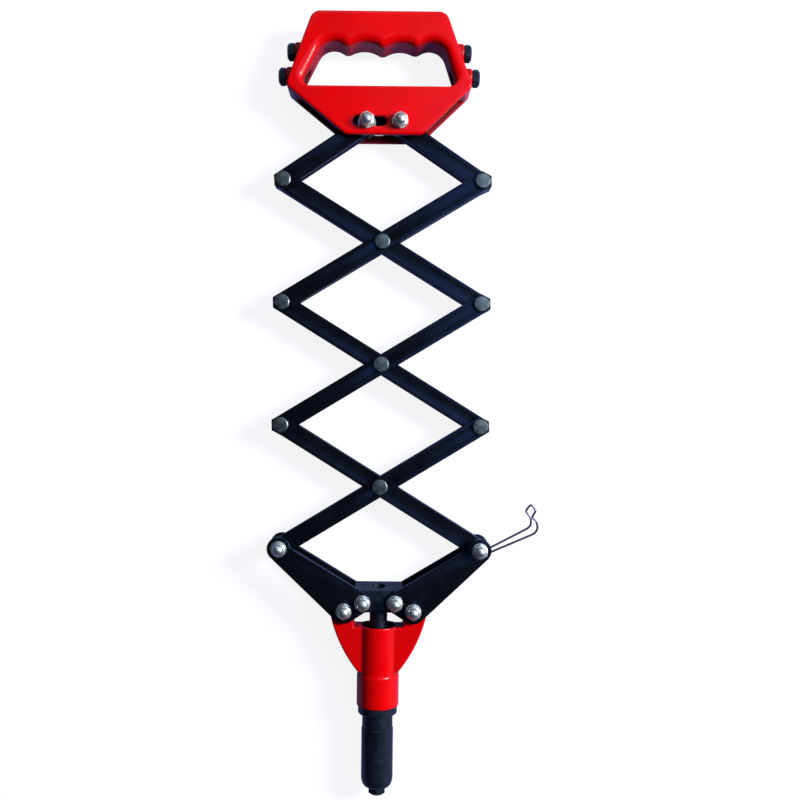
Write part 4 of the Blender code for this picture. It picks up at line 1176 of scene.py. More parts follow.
@dataclass(frozen=True)
class Levers(BoltedAssembly):
    """The four lever plates with their pull pins and end bolts.

    Attributes:
        pivot_lobe: Radius of the plate about its pivot.
        end_lobe: Radius about its end bolt.
        end_neck: Half the width of the neck below the end.
        pull_lobe: Radius about the pull pin.
        edge: Radius of the rubbed edges.
        hole: Radius of the holes.
        latch_room: What stays free on the right end bolt for the wire latch.
    """

    pivot_lobe: float = 0.0083
    end_lobe: float = 0.0078
    end_neck: float = 0.0048
    pull_lobe: float = 0.0062
    edge: float = 0.0005
    hole: float = 0.0033
    latch_room: float = 0.0019

    def outlines(self) -> tuple[Outline, list[Point]]:
        """The left plate's outline and the centres of its holes, from its pivot."""
        layout = self.layout
        pivot = (0.0, 0.0)
        end = (layout.pivot_spread - layout.end_x, layout.lever_rise)
        pull = (
            layout.pull_radius * math.cos(layout.pull_angle),
            layout.pull_radius * math.sin(layout.pull_angle),
        )
        outer = touching_normal(end, self.end_lobe, pivot, self.pivot_lobe, -1)
        inner = touching_normal(pivot, self.pivot_lobe, pull, self.pull_lobe, -1)
        upper = touching_normal(end, self.end_neck, pull, self.pull_lobe, 1)
        neck = math.acos(self.end_neck / self.end_lobe)
        outline = arc(pivot, self.pivot_lobe, outer, inner, 16)
        outline += arc(pull, self.pull_lobe, inner, upper, 16)
        outline += arc(end, self.end_lobe, upper - neck, outer + FULL_TURN, 24)
        return outline, [pivot, end, pull]

    def build(self) -> None:
        """Build both pairs of plates and their fasteners."""
        layout = self.layout
        outline, centres = self.outlines()
        seat = layout.body_half_depth + layout.gap
        for side in Side:
            sign = side.value
            name = side.name.lower()
            body = f"lever_{name}"
            mirror = Matrix.Diagonal((-sign, 1, 1, 1))
            for face, low in (("front", seat), ("rear", -seat - layout.plate_thickness)):
                holes = [drilled(centre, self.hole) for centre in centres]
                high = low + layout.plate_thickness
                plate = Solid.slab(outline, holes, low, high, self.edge, self.edge / 2)
                place = (sign * layout.pivot_spread, layout.pivot_y)
                put(plate.moved(mirror), f"{body}_{face}", place, BLACK_ENAMEL, body)
            pull_x, pull_y = layout.pull_place
            self.fasteners.fit_pull_pin(f"{body}_pull_pin", (sign * pull_x, pull_y), body)
            slope = Slope.RISING if side is Side.LEFT else Slope.FALLING
            room = 0.0 if side is Side.LEFT else self.latch_room
            self.fasteners.fit(
                f"{body}_end", (sign * layout.end_x, layout.end_y), layout.front, body,
                collars=self.fasteners.spacers(slope.layers, room),
            )


@dataclass(frozen=True)
class WireLatch(Assembly):
    """The wire latch on the right lever's end bolt.

    Attributes:
        wire: Radius of the wire.
        eye: Radius of the eye's centre line.
        eye_start: Angle on the eye where the upper strand comes in.
        lower_strand: Slope of the lower strand, which leaves the eye.
        hook: The bends from the lower strand round to the upper one.
        root: The upper strand's last points before the eye.
        smoothing: Chords between two bends.
        crease: Edges sharper than this angle stay sharp.
    """

    wire: float = 0.00075
    eye: float = 0.0041
    eye_start: float = math.radians(25)
    lower_strand: float = math.radians(24.8)
    hook: tuple[Point, ...] = (
        (0.0343, 0.0104), (0.0366, 0.0119), (0.0380, 0.0140), (0.0382, 0.0165),
        (0.0373, 0.0195), (0.0350, 0.0218), (0.0355, 0.0237), (0.0368, 0.0264),
        (0.0339, 0.0300), (0.0308, 0.0263), (0.0323, 0.0237), (0.0336, 0.0219),
        (0.0339, 0.0203), (0.0338, 0.0174), (0.0326, 0.0155), (0.0301, 0.0138),
    )
    root: tuple[Point, ...] = ((0.0056, 0.0009), (0.0047, 0.0007))
    smoothing: int = 6
    crease: float = math.radians(60)

    def route(self) -> list[Vector]:
        """The wire's centre line: the eye, then the hook on a smooth curve."""
        leave = self.lower_strand + 3 * math.pi / 2
        eye = arc((0.0, 0.0), self.eye, self.eye_start, leave, 24)
        bends = [Vector(point) for point in self.hook]
        smooth: list[Vector] = []
        for i in range(len(bends) - 1):
            before = bends[max(i - 1, 0)]
            after = bends[min(i + 2, len(bends) - 1)]
            start, end = bends[i], bends[i + 1]
            for k in range(self.smoothing):
                t = k / self.smoothing
                smooth.append(
                    0.5 * (2 * start + (end - before) * t
                           + (2 * before - 5 * start + 4 * end - after) * t**2
                           + (3 * start - before - 3 * end + after) * t**3)
                )
        smooth += [bends[-1]] + [Vector(point) for point in self.root]
        return [Vector((x, y, 0.0)) for x, y in eye] + [point.to_3d() for point in smooth]

    def build(self) -> None:
        """Build the latch as a mesh."""
        route = self.route()
        curve = bpy.data.curves.new("latch_route", "CURVE")
        curve.dimensions = "3D"
        curve.bevel_depth = self.wire
        curve.bevel_resolution = 4
        spline = curve.splines.new("POLY")
        spline.points.add(len(route) - 1)
        for point, place in zip(spline.points, route):
            point.co = (*place, 1.0)
        spline.use_cyclic_u = True
        drawn = bpy.data.objects.new("latch_route", curve)
        bpy.context.scene.collection.objects.link(drawn)
        bpy.context.view_layer.update()
        evaluated = drawn.evaluated_get(bpy.context.evaluated_depsgraph_get())
        mesh = bpy.data.meshes.new_from_object(evaluated)
        bpy.data.objects.remove(drawn, do_unlink=True)
        item = bpy.data.objects.new("drawn_wire_latch", mesh)
        bpy.context.scene.collection.objects.link(item)
        height = self.layout.body_half_depth - self.wire - self.layout.gap / 3
        item.location = (self.layout.end_x, self.layout.end_y, height)
        dressed(shade(item, self.crease), SPRING_WIRE, "latch", ["wire_latch"])


# --- Body, nose and puller ---


# Turns a piece that was turned about Z so that its top points to the grip.
LENGTHWISE = Matrix.Rotation(-QUARTER_TURN, 4, "X")


@dataclass(frozen=True)
class BodyCasting(BoltedAssembly):
    """The casting between the levers: a tube between two wings.

    Attributes:
        tube: Radius of the tube.
        tube_top: Y of the tube's top, which is the notch's floor.
        collar: Radius of the tube's lower end.
        collar_top: Y where the tube steps out to that.
        tube_end: Y of the tube's lower end.
        bore: Radius of the tube's bore.
        mouth: Radius of the wider bore at its top.
        mouth_depth: How deep that one goes.
        lobe: Radius of the wings about the pivots.
        lobe_start: The angle where the wings' edges reach them.
        foot: Y where the wings leave the tube.
        bow: How far the wings' edges bow out.
        edge: Radius of the wings' edges.
        notch: Half the width of the notch for the puller.
        pivot_hole: Radius of the pivots' holes.
        grain: Face size of the cast skin.
        smoothing: How often that is smoothed.
    """

    tube: float = 0.0135
    tube_top: float = 0.1126
    collar: float = 0.014
    collar_top: float = 0.0803
    tube_end: float = 0.0595
    bore: float = 0.0092
    mouth: float = 0.0113
    mouth_depth: float = 0.020
    lobe: float = 0.008
    lobe_start: float = math.radians(-10)
    foot: float = 0.0828
    bow: float = 0.0027
    edge: float = 0.001
    notch: float = 0.0163
    pivot_hole: float = 0.0033
    grain: float = 0.0005
    smoothing: int = 5

    def wings(self) -> Outline:
        """The wings' outline, anticlockwise."""
        layout = self.layout
        centre = (self.notch + self.lobe, layout.pivot_y)
        crown = arc(centre, self.lobe, self.lobe_start, math.pi, 20)
        start = Vector((self.tube - layout.gap, self.foot))
        end = Vector(crown[0])
        chord = end - start
        radius = (chord.length**2 / 4 + self.bow**2) / (2 * self.bow)
        middle = (start + end) / 2 + chord.orthogonal().normalized() * (radius - self.bow)
        first, last = start - middle, end - middle
        begin = math.atan2(first.y, first.x)
        sweep = math.atan2(first.cross(last), first.dot(last))
        bowed = arc((middle.x, middle.y), radius, begin, begin + sweep, 16)
        return with_mirror(bowed[:-1] + crown + [(self.notch, self.tube_top)])

    def build(self) -> None:
        """Build the casting and its pivot bolts."""
        layout = self.layout
        depth = layout.body_half_depth
        wings = Solid.slab(self.wings(), [], -depth, depth, self.edge, self.edge)
        item = wings.to_object("enamelled_body_casting")
        tube = Solid.turned([
            (self.tube, self.tube_top), (self.tube, self.collar_top + layout.gap),
            (self.collar, self.collar_top - layout.gap), (self.collar, self.tube_end),
        ], steps=LARGE_STEPS).moved(LENGTHWISE).to_object("tube")
        carve(item, [tube], "UNION")
        mouth_y = self.tube_top - self.mouth_depth
        bore = Solid.turned([
            (self.mouth, layout.pivot_y), (self.mouth, mouth_y), (self.bore, mouth_y),
            (self.bore, 0.0),
        ], steps=LARGE_STEPS).moved(LENGTHWISE).to_object("bore")
        holes = [
            Solid.turned([(self.pivot_hole, 2 * depth), (self.pivot_hole, -2 * depth)])
            .moved(Matrix.Translation((side.value * layout.pivot_spread, layout.pivot_y, 0.0)))
            .to_object("pivot_hole")
            for side in Side
        ]
        carve(item, [bore] + holes)
        cast_skin(item, self.grain, self.smoothing)
        dressed(item, RED_ENAMEL, "body", ["body_casting"])
        for side in Side:
            name = f"body_pivot_{side.name.lower()}"
            place = (side.value * layout.pivot_spread, layout.pivot_y)
            self.fasteners.fit(name, place, layout.front, "body")


@dataclass(frozen=True)
class Nosepiece:
    """A nosepiece: a hexagon with a turned cone, and its threaded stem.

    Attributes:
        flats: Size across flats.
        head: Height of the head.
        chamfer: Height of the cone at the corners.
        tip: Radius of the flat tip.
        stem: Radius of the stem.
        stem_length: Length of the stem.
        pitch: Pitch of its thread.
        face_share: The flat back face's share of the size across flats.
    """

    flats: float = 0.0108
    head: float = 0.0048
    chamfer: float = 0.0016
    tip: float = 0.0042
    stem: float = 0.0040
    stem_length: float = 0.006
    pitch: float = 0.001
    face_share: float = 0.97

    def solid(self, bore: float) -> Solid:
        """The nosepiece about Z, tip at 0 and stem upwards, with a bore of a radius."""
        corner = self.flats / math.sqrt(3)
        slope = self.chamfer / (corner - self.tip)
        face = self.flats / 2 * self.face_share
        top = self.head + self.stem_length
        return Solid.lofted([
            round_ring(bore, top), round_ring(self.stem - self.pitch / 4, top),
            round_ring(self.stem, top - self.pitch / 2), round_ring(self.stem, self.head),
            round_ring(face, self.head),
            hexagon_ring(self.flats, self.head, face, CHAMFER_SLOPE),
            hexagon_ring(self.flats, 0.0, self.tip, -slope), round_ring(self.tip, 0.0),
            round_ring(bore + self.pitch / 5, 0.0), round_ring(bore, self.pitch / 4),
        ], closed=True)


@dataclass(frozen=True)
class Nose(Assembly):
    """The locking collar, the sleeve and the fitted nosepiece.

    Attributes:
        tube_end: Y of the body's lower end.
        inner: Radius of the collar's bore.
        collar_radius: Radius of the locking collar.
        collar_thickness: Its thickness.
        collar_rim: Width of its chamfers.
        sleeve: Radius of the sleeve.
        sleeve_bore: Radius of its bore.
        step_y: Y of the step ring.
        step: Height of the step.
        taper: Length of the rounded taper.
        taper_steps: Chords of the taper.
        tip_radius: Radius of the sleeve's end.
        tip_bore: Radius of the hole in the end wall.
        end_y: Y of the sleeve's end.
        wall: Thickness of the end wall.
        spigot: Length of the spigot in the body.
        flats: Size across the wrench flats.
        flat_length: Their length.
        flat_turn: Their angle about the nose.
        bore: Radius of the fitted nosepiece's bore.
    """

    tube_end: float = 0.0595
    inner: float = 0.0092
    collar_radius: float = 0.013
    collar_thickness: float = 0.0051
    collar_rim: float = 0.0006
    sleeve: float = 0.01055
    sleeve_bore: float = 0.0079
    step_y: float = 0.0440
    step: float = 0.0004
    taper: float = 0.0066
    taper_steps: int = 6
    tip_radius: float = 0.0068
    tip_bore: float = 0.0043
    end_y: float = 0.0051
    wall: float = 0.007
    spigot: float = 0.012
    flats: float = 0.0190
    flat_length: float = 0.0172
    flat_turn: float = math.radians(-24)
    bore: float = 0.0013

    def build_collar(self) -> None:
        """The locking collar, with turned rims."""
        top = self.tube_end - self.layout.gap
        low = top - self.collar_thickness
        rims = rimmed(self.collar_radius, low, top, self.collar_rim)
        profile = [(self.inner, top), *rims, (self.inner, low)]
        ring = Solid.turned(profile, closed=True, steps=LARGE_STEPS)
        put(ring.moved(LENGTHWISE), "locking_collar", (0.0, 0.0), BLACK_OXIDE, "body")

    def build_sleeve(self) -> None:
        """The sleeve, with its step ring, rounded taper and two wrench flats."""
        gap = self.layout.gap
        shoulder = self.tube_end - 2 * gap - self.collar_thickness
        low_radius = self.sleeve - self.step
        taper_top = self.end_y + self.taper
        taper = [
            (self.tip_radius + (self.sleeve - self.tip_radius) * x, taper_top - self.taper * y)
            for x, y in arc((0.0, 0.0), 1.0, 0.0, QUARTER_TURN, self.taper_steps)
        ]
        tip_bore = self.tip_bore
        profile = [
            (self.inner - gap, shoulder + self.spigot), (self.inner - gap, shoulder),
            (low_radius, shoulder), (low_radius, self.step_y + self.step),
            (self.sleeve, self.step_y), *taper, (tip_bore, self.end_y),
            (tip_bore, self.end_y + self.wall), (self.sleeve_bore, self.end_y + self.wall),
            (self.sleeve_bore, shoulder + self.spigot),
        ]
        sleeve = Solid.turned(profile, closed=True, steps=LARGE_STEPS).moved(LENGTHWISE)
        item = sleeve.to_object("blackened_nose_sleeve")
        cutters = []
        for turn in (self.flat_turn, self.flat_turn + math.pi):
            low, high = self.step_y - self.flat_length, self.step_y - gap
            flat = rectangle(-self.sleeve, low, self.sleeve, high)
            cutter = Solid.slab(flat, [], self.flats / 2, self.sleeve + gap, gap / 4, 0.0, 1)
            cutters.append(cutter.moved(Matrix.Rotation(turn, 4, "Y")).to_object("wrench_flat"))
        carve(item, cutters)
        dressed(shade(item), BLACK_OXIDE, "body", ["nose_sleeve"])

    def build(self) -> None:
        """Build collar, sleeve and nosepiece."""
        self.build_collar()
        self.build_sleeve()
        item = Nosepiece().solid(self.bore).moved(LENGTHWISE).to_object("blackened_nosepiece")
        dressed(item, BLACK_OXIDE, "body", ["fitted_nosepiece"])


@dataclass(frozen=True)
class Puller(Assembly):
    """The puller head: a block with side slots, and its threaded stem.

    Attributes:
        half_width: Half the block's width.
        low: The block's underside, from the pivots.
        high: Its top, from the pivots.
        edge: Radius of its edges.
        slant: How far its top falls towards the front, per metre of depth.
        mouth: Radius of the mandrel hole's wide mouth.
        mouth_depth: How deep that mouth goes.
        slot_root: X of the slots' rounded ends.
        slot_half: Half the width of the slots.
        mandrel: Radius of the mandrel's bore.
        stem: Radius of the stem.
        neck: Radius of the plain neck above the thread.
        neck_end: Y of the neck's lower end.
        stem_end: Y of the stem's lower end.
        pitch: Pitch of the stem's thread.
        inner_nodes: CAD nodes in the nose that only get their finish.
    """

    half_width: float = 0.0158
    low: float = -0.0015
    high: float = 0.0160
    edge: float = 0.0006
    slant: float = 0.17
    mouth: float = 0.0046
    mouth_depth: float = 0.0065
    slot_root: float = 0.00575
    slot_half: float = 0.00355
    mandrel: float = 0.0025
    stem: float = 0.0052
    neck: float = 0.0059
    neck_end: float = 0.096
    stem_end: float = 0.064
    pitch: float = 0.001
    inner_nodes: tuple[str, ...] = ("jaw_case", "jaw_1", "jaw_2", "jaw_3", "jaw_pusher")

    def block(self) -> Outline:
        """The block's outline with both slots, anticlockwise."""
        base = self.layout.pivot_y
        slot_y = self.layout.pull_place[1]
        centre = (self.slot_root + self.slot_half, slot_y)
        slot = arc(centre, self.slot_half, 3 * QUARTER_TURN, QUARTER_TURN, 12)
        below = [base + self.low, slot_y - self.slot_half]
        above = [slot_y + self.slot_half, base + self.high]
        return with_mirror(
            [(self.half_width, y) for y in below] + slot + [(self.half_width, y) for y in above]
        )

    def build(self, nodes: dict[str, Item]) -> None:
        """Build the puller head and dress what rides inside the nose.

        Args:
            nodes: The CAD nodes' objects by name.
        """
        layout = self.layout
        depth = layout.body_half_depth
        block = Solid.slab(self.block(), [], -depth, depth, self.edge, self.edge)
        item = block.to_object("blackened_puller_head")
        top = layout.pivot_y + self.high
        bevelled(item, Vector((0, top, -depth)), Vector((0, 1, self.slant)))
        bore = Solid.turned([
            (self.mouth, top + layout.gap), (self.mouth, top - self.mouth_depth),
            (self.mandrel, top - self.mouth_depth), (self.mandrel, layout.pivot_y),
        ]).moved(LENGTHWISE).to_object("mandrel_bore")
        carve(item, [bore])
        rim = self.neck - self.pitch / 2
        neck = Solid.turned([
            (self.neck, layout.pivot_y + self.low + self.pitch),
            (self.neck, self.neck_end + self.pitch / 2), (rim, self.neck_end),
        ])
        stem = Solid.threaded(
            self.stem, self.stem_end, self.neck_end + self.pitch / 2, self.pitch, self.pitch / 2
        ).add(neck).moved(LENGTHWISE).to_object("stem")
        item = joined([item, stem])
        dressed(shade(item), BLACK_OXIDE, "puller", ["puller_head"])
        for name in self.inner_nodes:
            nodes[name].material_slots[0].material = BLACK_OXIDE.build()
        nodes["jaw_spring"].material_slots[0].material = SPRING_WIRE.build()


def bevelled(item: Item, place: Vector, normal: Vector) -> None:
    """Cut off what lies outside a plane and close the cut."""
    shape = bmesh.new()
    shape.from_mesh(item.data)
    parts = shape.verts[:] + shape.edges[:] + shape.faces[:]
    cut = bmesh.ops.bisect_plane(
        shape, geom=parts, plane_co=place, plane_no=normal, clear_outer=True
    )["geom_cut"]
    rim = [part for part in cut if isinstance(part, bmesh.types.BMEdge)]
    bmesh.ops.contextual_create(shape, geom=rim)
    shape.to_mesh(item.data)
    shape.free()


def joined(items: Sequence[Item]) -> Item:
    """Put several objects' meshes into the first one and delete the others."""
    shape = bmesh.new()
    for item in items:
        shape.from_mesh(item.data)
    shape.to_mesh(items[0].data)
    shape.free()
    for item in items[1:]:
        bpy.data.objects.remove(item, do_unlink=True)
    return items[0]


# --- Grip ---


@dataclass(frozen=True)
class Grip(BoltedAssembly):
    """The grip casting with its finger opening, bolts and spare nosepieces.

    Attributes:
        half_depth: Half the casting's depth.
        shift: X of its centre line.
        top: Its top edge, from the bolts' line.
        top_half: Half the width of its top edge.
        wide: Where it is widest, from the bolts' line.
        wide_half: Half its greatest width.
        bottom: Its bottom edge, from the bolts' line.
        bottom_half: Half the width of its bottom edge, from the tool's centre line.
        corners: Radii of its corners, from the lower left one.
        edge: Radius of its outer edges.
        flare: Radius of the opening's rims.
        low_rim: The lower rim's share of that.
        opening_low: The opening's lower edge.
        opening_half: Half the opening's width there.
        opening_corner: Radius of its lower corners.
        fingers: Centre and radius of each finger's scallop, from the right one.
        blend: Radius of the rounded ridges between them.
        clevis_top: Depth of the slot for the links.
        clevis_share: Half that slot's width, as a share of the casting's greatest one.
        bolt_hole: Radius of the bolts' holes.
        slot_low: The bolt slot's left end.
        slot_high: Its right end.
        slot_share: The radius of its corners, as a share of half its width.
        bolt_head: Height of the rear bolt heads.
        boss: Radius of the bosses for spare nosepieces.
        boss_depth: Length of a boss.
        boss_hole: Radius of their holes.
        boss_places: Height, reach and hole depth of the lower and the upper boss.
        bores: Radii of the spare nosepieces' bores.
        segments: Chords of its rounded edges.
        grain: Face size of the cast skin.
        smoothing: How often that is smoothed.
    """

    half_depth: float = 0.013
    shift: float = -0.0032
    top: float = 0.0723
    top_half: float = 0.0440
    wide: float = 0.0235
    wide_half: float = 0.0615
    bottom: float = -0.0087
    bottom_half: float = 0.0252
    corners: tuple[float, ...] = (0.006, 0.006, 0.004, 0.007, 0.007, 0.004)
    edge: float = 0.0013
    flare: float = 0.0048
    low_rim: float = 0.2
    opening_low: float = 0.0235
    opening_half: float = 0.0495
    opening_corner: float = 0.004
    fingers: tuple[tuple[Point, float], ...] = (
        ((0.0334, 0.0420), 0.0110), ((0.0137, 0.0350), 0.0175), ((-0.0101, 0.0350), 0.0178),
        ((-0.0305, 0.0420), 0.0110),
    )
    blend: float = 0.0053
    clevis_top: float = 0.0195
    clevis_share: float = 1.1
    bolt_hole: float = 0.0033
    slot_low: float = -0.0168
    slot_high: float = 0.0055
    slot_share: float = 0.98
    bolt_head: float = 0.003
    boss: float = 0.0064
    boss_depth: float = 0.010
    boss_hole: float = 0.0043
    boss_places: tuple[tuple[float, float, float], ...] = (
        (0.0325, 0.06177, 0.0185), (0.0490, 0.05616, 0.009),
    )
    bores: tuple[float, ...] = (0.0015, 0.0018, 0.0021, 0.0024)
    segments: int = 6
    grain: float = 0.0006
    smoothing: int = 4

    def outline(self) -> Outline:
        """The casting's outline, anticlockwise, from its own centre."""
        sharp = [
            (-self.bottom_half - self.shift, self.bottom),
            (self.bottom_half - self.shift, self.bottom),
            (self.wide_half, self.wide), (self.top_half, self.top),
            (-self.top_half, self.top), (-self.wide_half, self.wide),
        ]
        return rounded(sharp, self.corners)

    def opening(self, grow: float) -> Outline:
        """The finger opening's outline when it has grown by a distance."""
        corner = self.opening_corner + grow
        corner_x = self.opening_half - self.opening_corner
        corner_y = self.opening_low + self.opening_corner + (1 - self.low_rim) * grow
        down = -QUARTER_TURN
        (first, first_radius), (last, last_radius) = self.fingers[0], self.fingers[-1]
        right_wall = touching_normal((corner_x, corner_y), corner, first, first_radius + grow, -1)
        left_wall = touching_normal(last, last_radius + grow, (-corner_x, corner_y), corner, -1)
        left_wall %= FULL_TURN
        outline = arc((-corner_x, corner_y), corner, left_wall, down + FULL_TURN, 8)
        outline += arc((corner_x, corner_y), corner, down, right_wall, 8)
        start = right_wall
        for (near, near_radius), (far, far_radius) in zip(self.fingers, self.fingers[1:]):
            blend = upper_crossing(near, near_radius + self.blend, far, far_radius + self.blend)
            from_near, from_far = blend - Vector(near), blend - Vector(far)
            end = math.atan2(from_near.y, from_near.x)
            outline += arc(near, near_radius + grow, start, end, 20)[:-1]
            start = math.atan2(from_far.y, from_far.x)
            ridge = (blend.x, blend.y)
            outline += arc(ridge, self.blend - grow, end + math.pi, start + math.pi, 12)[:-1]
        return outline + arc(last, last_radius + grow, start, left_wall, 20)

    def bosses(self) -> tuple[list[Item], list[Item]]:
        """The bosses for the spare nosepieces, and their holes."""
        bosses, holes = [], []
        for side in Side:
            for height, reach, depth in self.boss_places:
                sideways = Matrix.Rotation(side.value * QUARTER_TURN, 4, "Y")
                frame = Matrix.Translation((0.0, height, 0.0)) @ sideways
                boss = Solid.turned([(self.boss, reach), (self.boss, reach - self.boss_depth)])
                bosses.append(boss.moved(frame).to_object("boss"))
                hole = Solid.turned([
                    (self.boss_hole, reach + self.grain), (self.boss_hole, reach - depth),
                ])
                holes.append(hole.moved(frame).to_object("boss_hole"))
        return bosses, holes

    def cuts(self) -> list[Item]:
        """The cutters for the links' slot, the bolt slot and the bolt hole."""
        depth = self.layout.body_half_depth + self.layout.gap
        wide = self.wide_half * self.clevis_share
        clevis = rectangle(-wide, 2 * self.bottom, wide, self.clevis_top)
        slot = rectangle(self.slot_low, -self.bolt_hole, self.slot_high, self.bolt_hole)
        slot = rounded(slot, [self.bolt_hole * self.slot_share] * len(slot))
        hole = circle((self.layout.grip_spread - self.shift, 0.0), self.bolt_hole)
        through = self.half_depth + self.grain
        return [
            Solid.slab(shape, [], -half, half, self.grain / 10, 0.0, 1).to_object("cut")
            for shape, half in ((clevis, depth), (slot, through), (hole, through))
        ]

    def build_casting(self) -> None:
        """The casting, carved sharp and then given its cast skin."""
        depth = self.half_depth
        item = Solid.slab(
            self.outline(), [self.opening], -depth, depth, self.edge, self.flare, self.segments
        ).to_object("enamelled_grip_casting")
        bosses, holes = self.bosses()
        carve(item, bosses, "UNION")
        carve(item, self.cuts() + holes)
        cast_skin(item, self.grain, self.smoothing)
        item.location = (self.shift, self.layout.grip_y, 0.0)
        dressed(item, RED_ENAMEL, "grip", ["grip_casting"])

    def build_spares(self) -> None:
        """The four spare nosepieces on the casting's sides."""
        piece = Nosepiece()
        number = 0
        for side in Side:
            for height, reach, _ in self.boss_places:
                item = piece.solid(self.bores[number]).to_object(f"blackened_spare_{number + 1}")
                item.rotation_euler = (0.0, -side.value * QUARTER_TURN, 0.0)
                item.location = (
                    self.shift + side.value * (reach + self.layout.gap + piece.head),
                    self.layout.grip_y + height, 0.0,
                )
                number += 1
                dressed(item, BLACK_OXIDE, "grip", [f"spare_nosepiece_{number}"])

    def build(self) -> None:
        """Build the casting, its bolts and the spare nosepieces."""
        self.build_casting()
        self.build_spares()
        for side, name, body, slope in (
            (Side.RIGHT, "grip_fixed", "grip", Slope.FALLING),
            (Side.LEFT, "grip_slot", "link_left", Slope.RISING),
        ):
            place = (side.value * self.layout.grip_spread, self.layout.grip_y)
            collars = self.fasteners.spacers(slope.layers)
            self.fasteners.fit(name, place, self.half_depth, body, self.bolt_head, collars)


# --- Studio ---


# The width of a full-frame camera's sensor, in millimetres.
SENSOR_WIDTH = 36.0


@dataclass(frozen=True)
class Lamp:
    """A soft box.

    Attributes:
        name: Its name.
        place: Where it stands.
        size: Width and height of its face.
        power: Its power in watts.
        colour: Its colour, in sRGB.
    """

    name: str
    place: tuple[float, float, float]
    size: Point
    power: float
    colour: str = "#FFFFFF"

    def build(self, target: Vector) -> None:
        """Hang the lamp and point it at a target."""
        lamp = bpy.data.lights.new(self.name, "AREA")
        lamp.shape = "RECTANGLE"
        lamp.size, lamp.size_y = self.size
        lamp.energy = self.power
        lamp.color = linear(self.colour)[:3]
        item = bpy.data.objects.new(self.name, lamp)
        bpy.context.scene.collection.objects.link(item)
        item.location = self.place
        item.rotation_euler = (target - item.location).to_track_quat("-Z", "Y").to_euler()


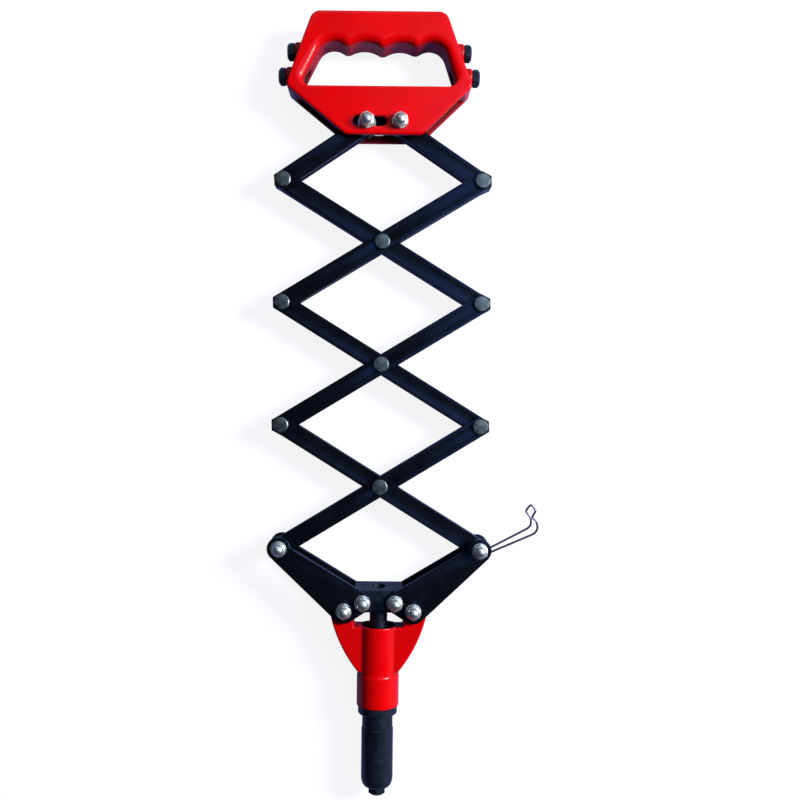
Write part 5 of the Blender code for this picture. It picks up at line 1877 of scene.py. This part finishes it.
@dataclass(frozen=True)
class Studio(Assembly):
    """The floor, the lamps and the camera.

    Attributes:
        floor_half: Half the floor's width.
        floor_gap: How far it lies below the bolt heads.
        floor_colour: Its colour, in sRGB.
        floor_roughness: Its roughness.
        zenith: The strength of the dark ceiling.
        ceiling_span: The heights, from 0 to 1, where it begins and where it is fully dark.
        horizon: The strength of the pale wall behind the tool's upper right.
        bright_way: The direction of that wall.
        wall_span: The agreement with that way where it begins and where it is fully bright.
        dim_side: The other walls' share of its strength.
        cast: The surroundings' colour, in sRGB.
        sky_way: The direction of a blue patch in the ceiling, which the right arms mirror.
        sky_span: The agreement with that way where it begins and where it is full.
        sky_colour: Its colour, in sRGB.
        sky: Its strength.
        glow: How much of its own light the floor shows the camera and in reflections.
        mirrored: The glow's colour in reflections, which see the paper in the tool's shadow,
            in sRGB.
        camera: Where the camera hangs.
        roll: The camera's turn about its own axis.
        focal_pixels: The focal length, in pixels of the photograph.
        image: The photograph's width, in pixels.
        centre: The pixel that the camera's axis goes through.
        lamps: The soft boxes.
    """

    floor_half: float = 2.0
    floor_gap: float = 0.0002
    floor_colour: str = "#6C7080"
    floor_roughness: float = 0.9
    zenith: float = 0.04
    ceiling_span: Point = (0.25, 0.8)
    horizon: float = 0.8
    bright_way: tuple[float, float, float] = (0.8, 0.6, 0.0)
    wall_span: Point = (-0.1, 0.8)
    dim_side: float = 0.06
    cast: str = "#C4D6F8"
    sky_way: tuple[float, float, float] = (0.36, 0.25, 0.9)
    sky_span: Point = (0.92, 0.98)
    sky_colour: str = "#6490C8"
    sky: float = 2.4
    glow: float = 0.88
    mirrored: str = "#4A58A0"
    camera: tuple[float, float, float] = (0.0022, 0.2639, 0.6146)
    roll: float = math.radians(0.6)
    focal_pixels: float = 920.0
    image: float = 800.0
    centre: Point = (384.0, 398.0)
    lamps: tuple[Lamp, ...] = (
        Lamp("key_soft_box", (0.94, 0.54, 0.78), (0.4, 0.4), 24.5),
        Lamp("top_soft_box", (-0.15, 1.10, 0.75), (0.6, 0.3), 0.8),
    )

    def build_floor(self) -> None:
        """A plain pale floor just under the rear bolt heads, clear when seen from below."""
        half = self.floor_half
        corners = [Vector((x, y, 0.0)) for x, y in rectangle(-half, -half, half, half)]
        floor = Solid(corners, [(0, 1, 2, 3)]).to_object("floor")
        floor.location.z = self.layout.rest - self.floor_gap
        material = bpy.data.materials.new("pale_paper")
        material.use_nodes = True
        tree = material.node_tree
        paper = tree.nodes["Principled BSDF"]
        matt = {"Base Color": linear(self.floor_colour), "Roughness": self.floor_roughness}
        set_inputs(tree, paper, matt)
        camera, glossy, through = [
            add_node(tree, "LightPath", f"Is {ray} Ray")
            for ray in ("Camera", "Glossy", "Transmission")
        ]
        tints = {0: camera, 6: linear(self.mirrored), 7: WHITE}
        tint = add_node(tree, "Mix", 2, tints, data_type="RGBA")
        glow = add_node(tree, "Emission", "Emission", {"Color": tint, "Strength": self.glow})
        plain = paper.outputs["BSDF"]
        glowing = add_node(tree, "AddShader", "Shader", {0: plain, 1: glow})
        seen = camera
        for ray in (glossy, through):
            seen = add_node(tree, "Math", "Value", {0: seen, 1: ray}, operation="MAXIMUM")
        above = add_node(tree, "MixShader", "Shader", {0: seen, 1: plain, 2: glowing})
        below = add_node(tree, "NewGeometry", "Backfacing")
        clear = add_node(tree, "BsdfTransparent", "BSDF")
        one_sided = add_node(tree, "MixShader", "Shader", {0: below, 1: above, 2: clear})
        set_inputs(tree, tree.nodes["Material Output"], {"Surface": one_sided})
        floor.data.materials.append(material)

    def build_light(self) -> None:
        """A pale wall at the upper right, dim ones elsewhere, a dark ceiling, the soft boxes."""
        world = bpy.data.worlds.new("studio")
        world.use_nodes = True
        tree = world.node_tree
        place = add_node(tree, "TexCoord", "Generated")
        height = add_node(tree, "SeparateXYZ", "Z", {"Vector": place})
        wall_side, sky_side = [
            add_node(tree, "VectorMath", "Value", {0: place, 1: way}, operation="DOT_PRODUCT")
            for way in (self.bright_way, self.sky_way)
        ]
        low, high = self.wall_span
        side = {
            "Value": wall_side, "From Min": low, "From Max": high,
            "To Min": self.dim_side * self.horizon, "To Max": self.horizon,
        }
        wall = add_node(tree, "MapRange", "Result", side, interpolation_type="SMOOTHSTEP")
        low, high = self.ceiling_span
        dome = {
            "Value": height, "From Min": low, "From Max": high,
            "To Min": wall, "To Max": self.zenith,
        }
        room = add_node(tree, "MapRange", "Result", dome, interpolation_type="SMOOTHSTEP")
        low, high = self.sky_span
        sky = {"Value": sky_side, "From Min": low, "From Max": high}
        patch = add_node(tree, "MapRange", "Result", sky, interpolation_type="SMOOTHSTEP")
        colours = {0: patch, 6: linear(self.cast), 7: linear(self.sky_colour)}
        colour = add_node(tree, "Mix", 2, colours, data_type="RGBA")
        sums = {0: patch, 1: self.sky, 2: room}
        strength = add_node(tree, "Math", "Value", sums, operation="MULTIPLY_ADD")
        background = tree.nodes["Background"]
        set_inputs(tree, background, {"Color": colour, "Strength": strength})
        paper = add_node(tree, "Background", "Background", {"Color": WHITE})
        seen = add_node(tree, "LightPath", "Is Camera Ray")
        both = {0: seen, 1: background.outputs["Background"], 2: paper}
        surface = add_node(tree, "MixShader", "Shader", both)
        set_inputs(tree, tree.nodes["World Output"], {"Surface": surface})
        bpy.context.scene.world = world
        target = Vector((0.0, self.camera[1], 0.0))
        for lamp in self.lamps:
            lamp.build(target)

    def build_camera(self) -> None:
        """The camera, straight above the tool as in the photograph."""
        data = bpy.data.cameras.new("photograph")
        data.sensor_width = SENSOR_WIDTH
        data.lens = data.sensor_width * self.focal_pixels / self.image
        data.shift_x = (self.image / 2 - self.centre[0]) / self.image
        data.shift_y = (self.centre[1] - self.image / 2) / self.image
        item = bpy.data.objects.new("photograph", data)
        bpy.context.scene.collection.objects.link(item)
        item.location = self.camera
        item.rotation_euler = (0.0, 0.0, self.roll)
        bpy.context.scene.camera = item

    def build(self) -> None:
        """Build the studio."""
        self.build_floor()
        self.build_light()
        self.build_camera()
        bpy.context.scene.view_settings.view_transform = "Standard"


def main() -> None:
    """Build every sub-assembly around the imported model, then the studio."""
    logging.basicConfig(level=logging.INFO, format="%(message)s")
    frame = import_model()
    layout = Layout()
    fasteners = Fasteners(layout)
    Tongs(layout, fasteners).build()
    Levers(layout, fasteners).build()
    WireLatch(layout).build()
    BodyCasting(layout, fasteners).build()
    Nose(layout).build()
    Puller(layout).build(frame["nodes"])
    Grip(layout, fasteners).build()
    Studio(layout).build()


if __name__ == "__main__":
    main()
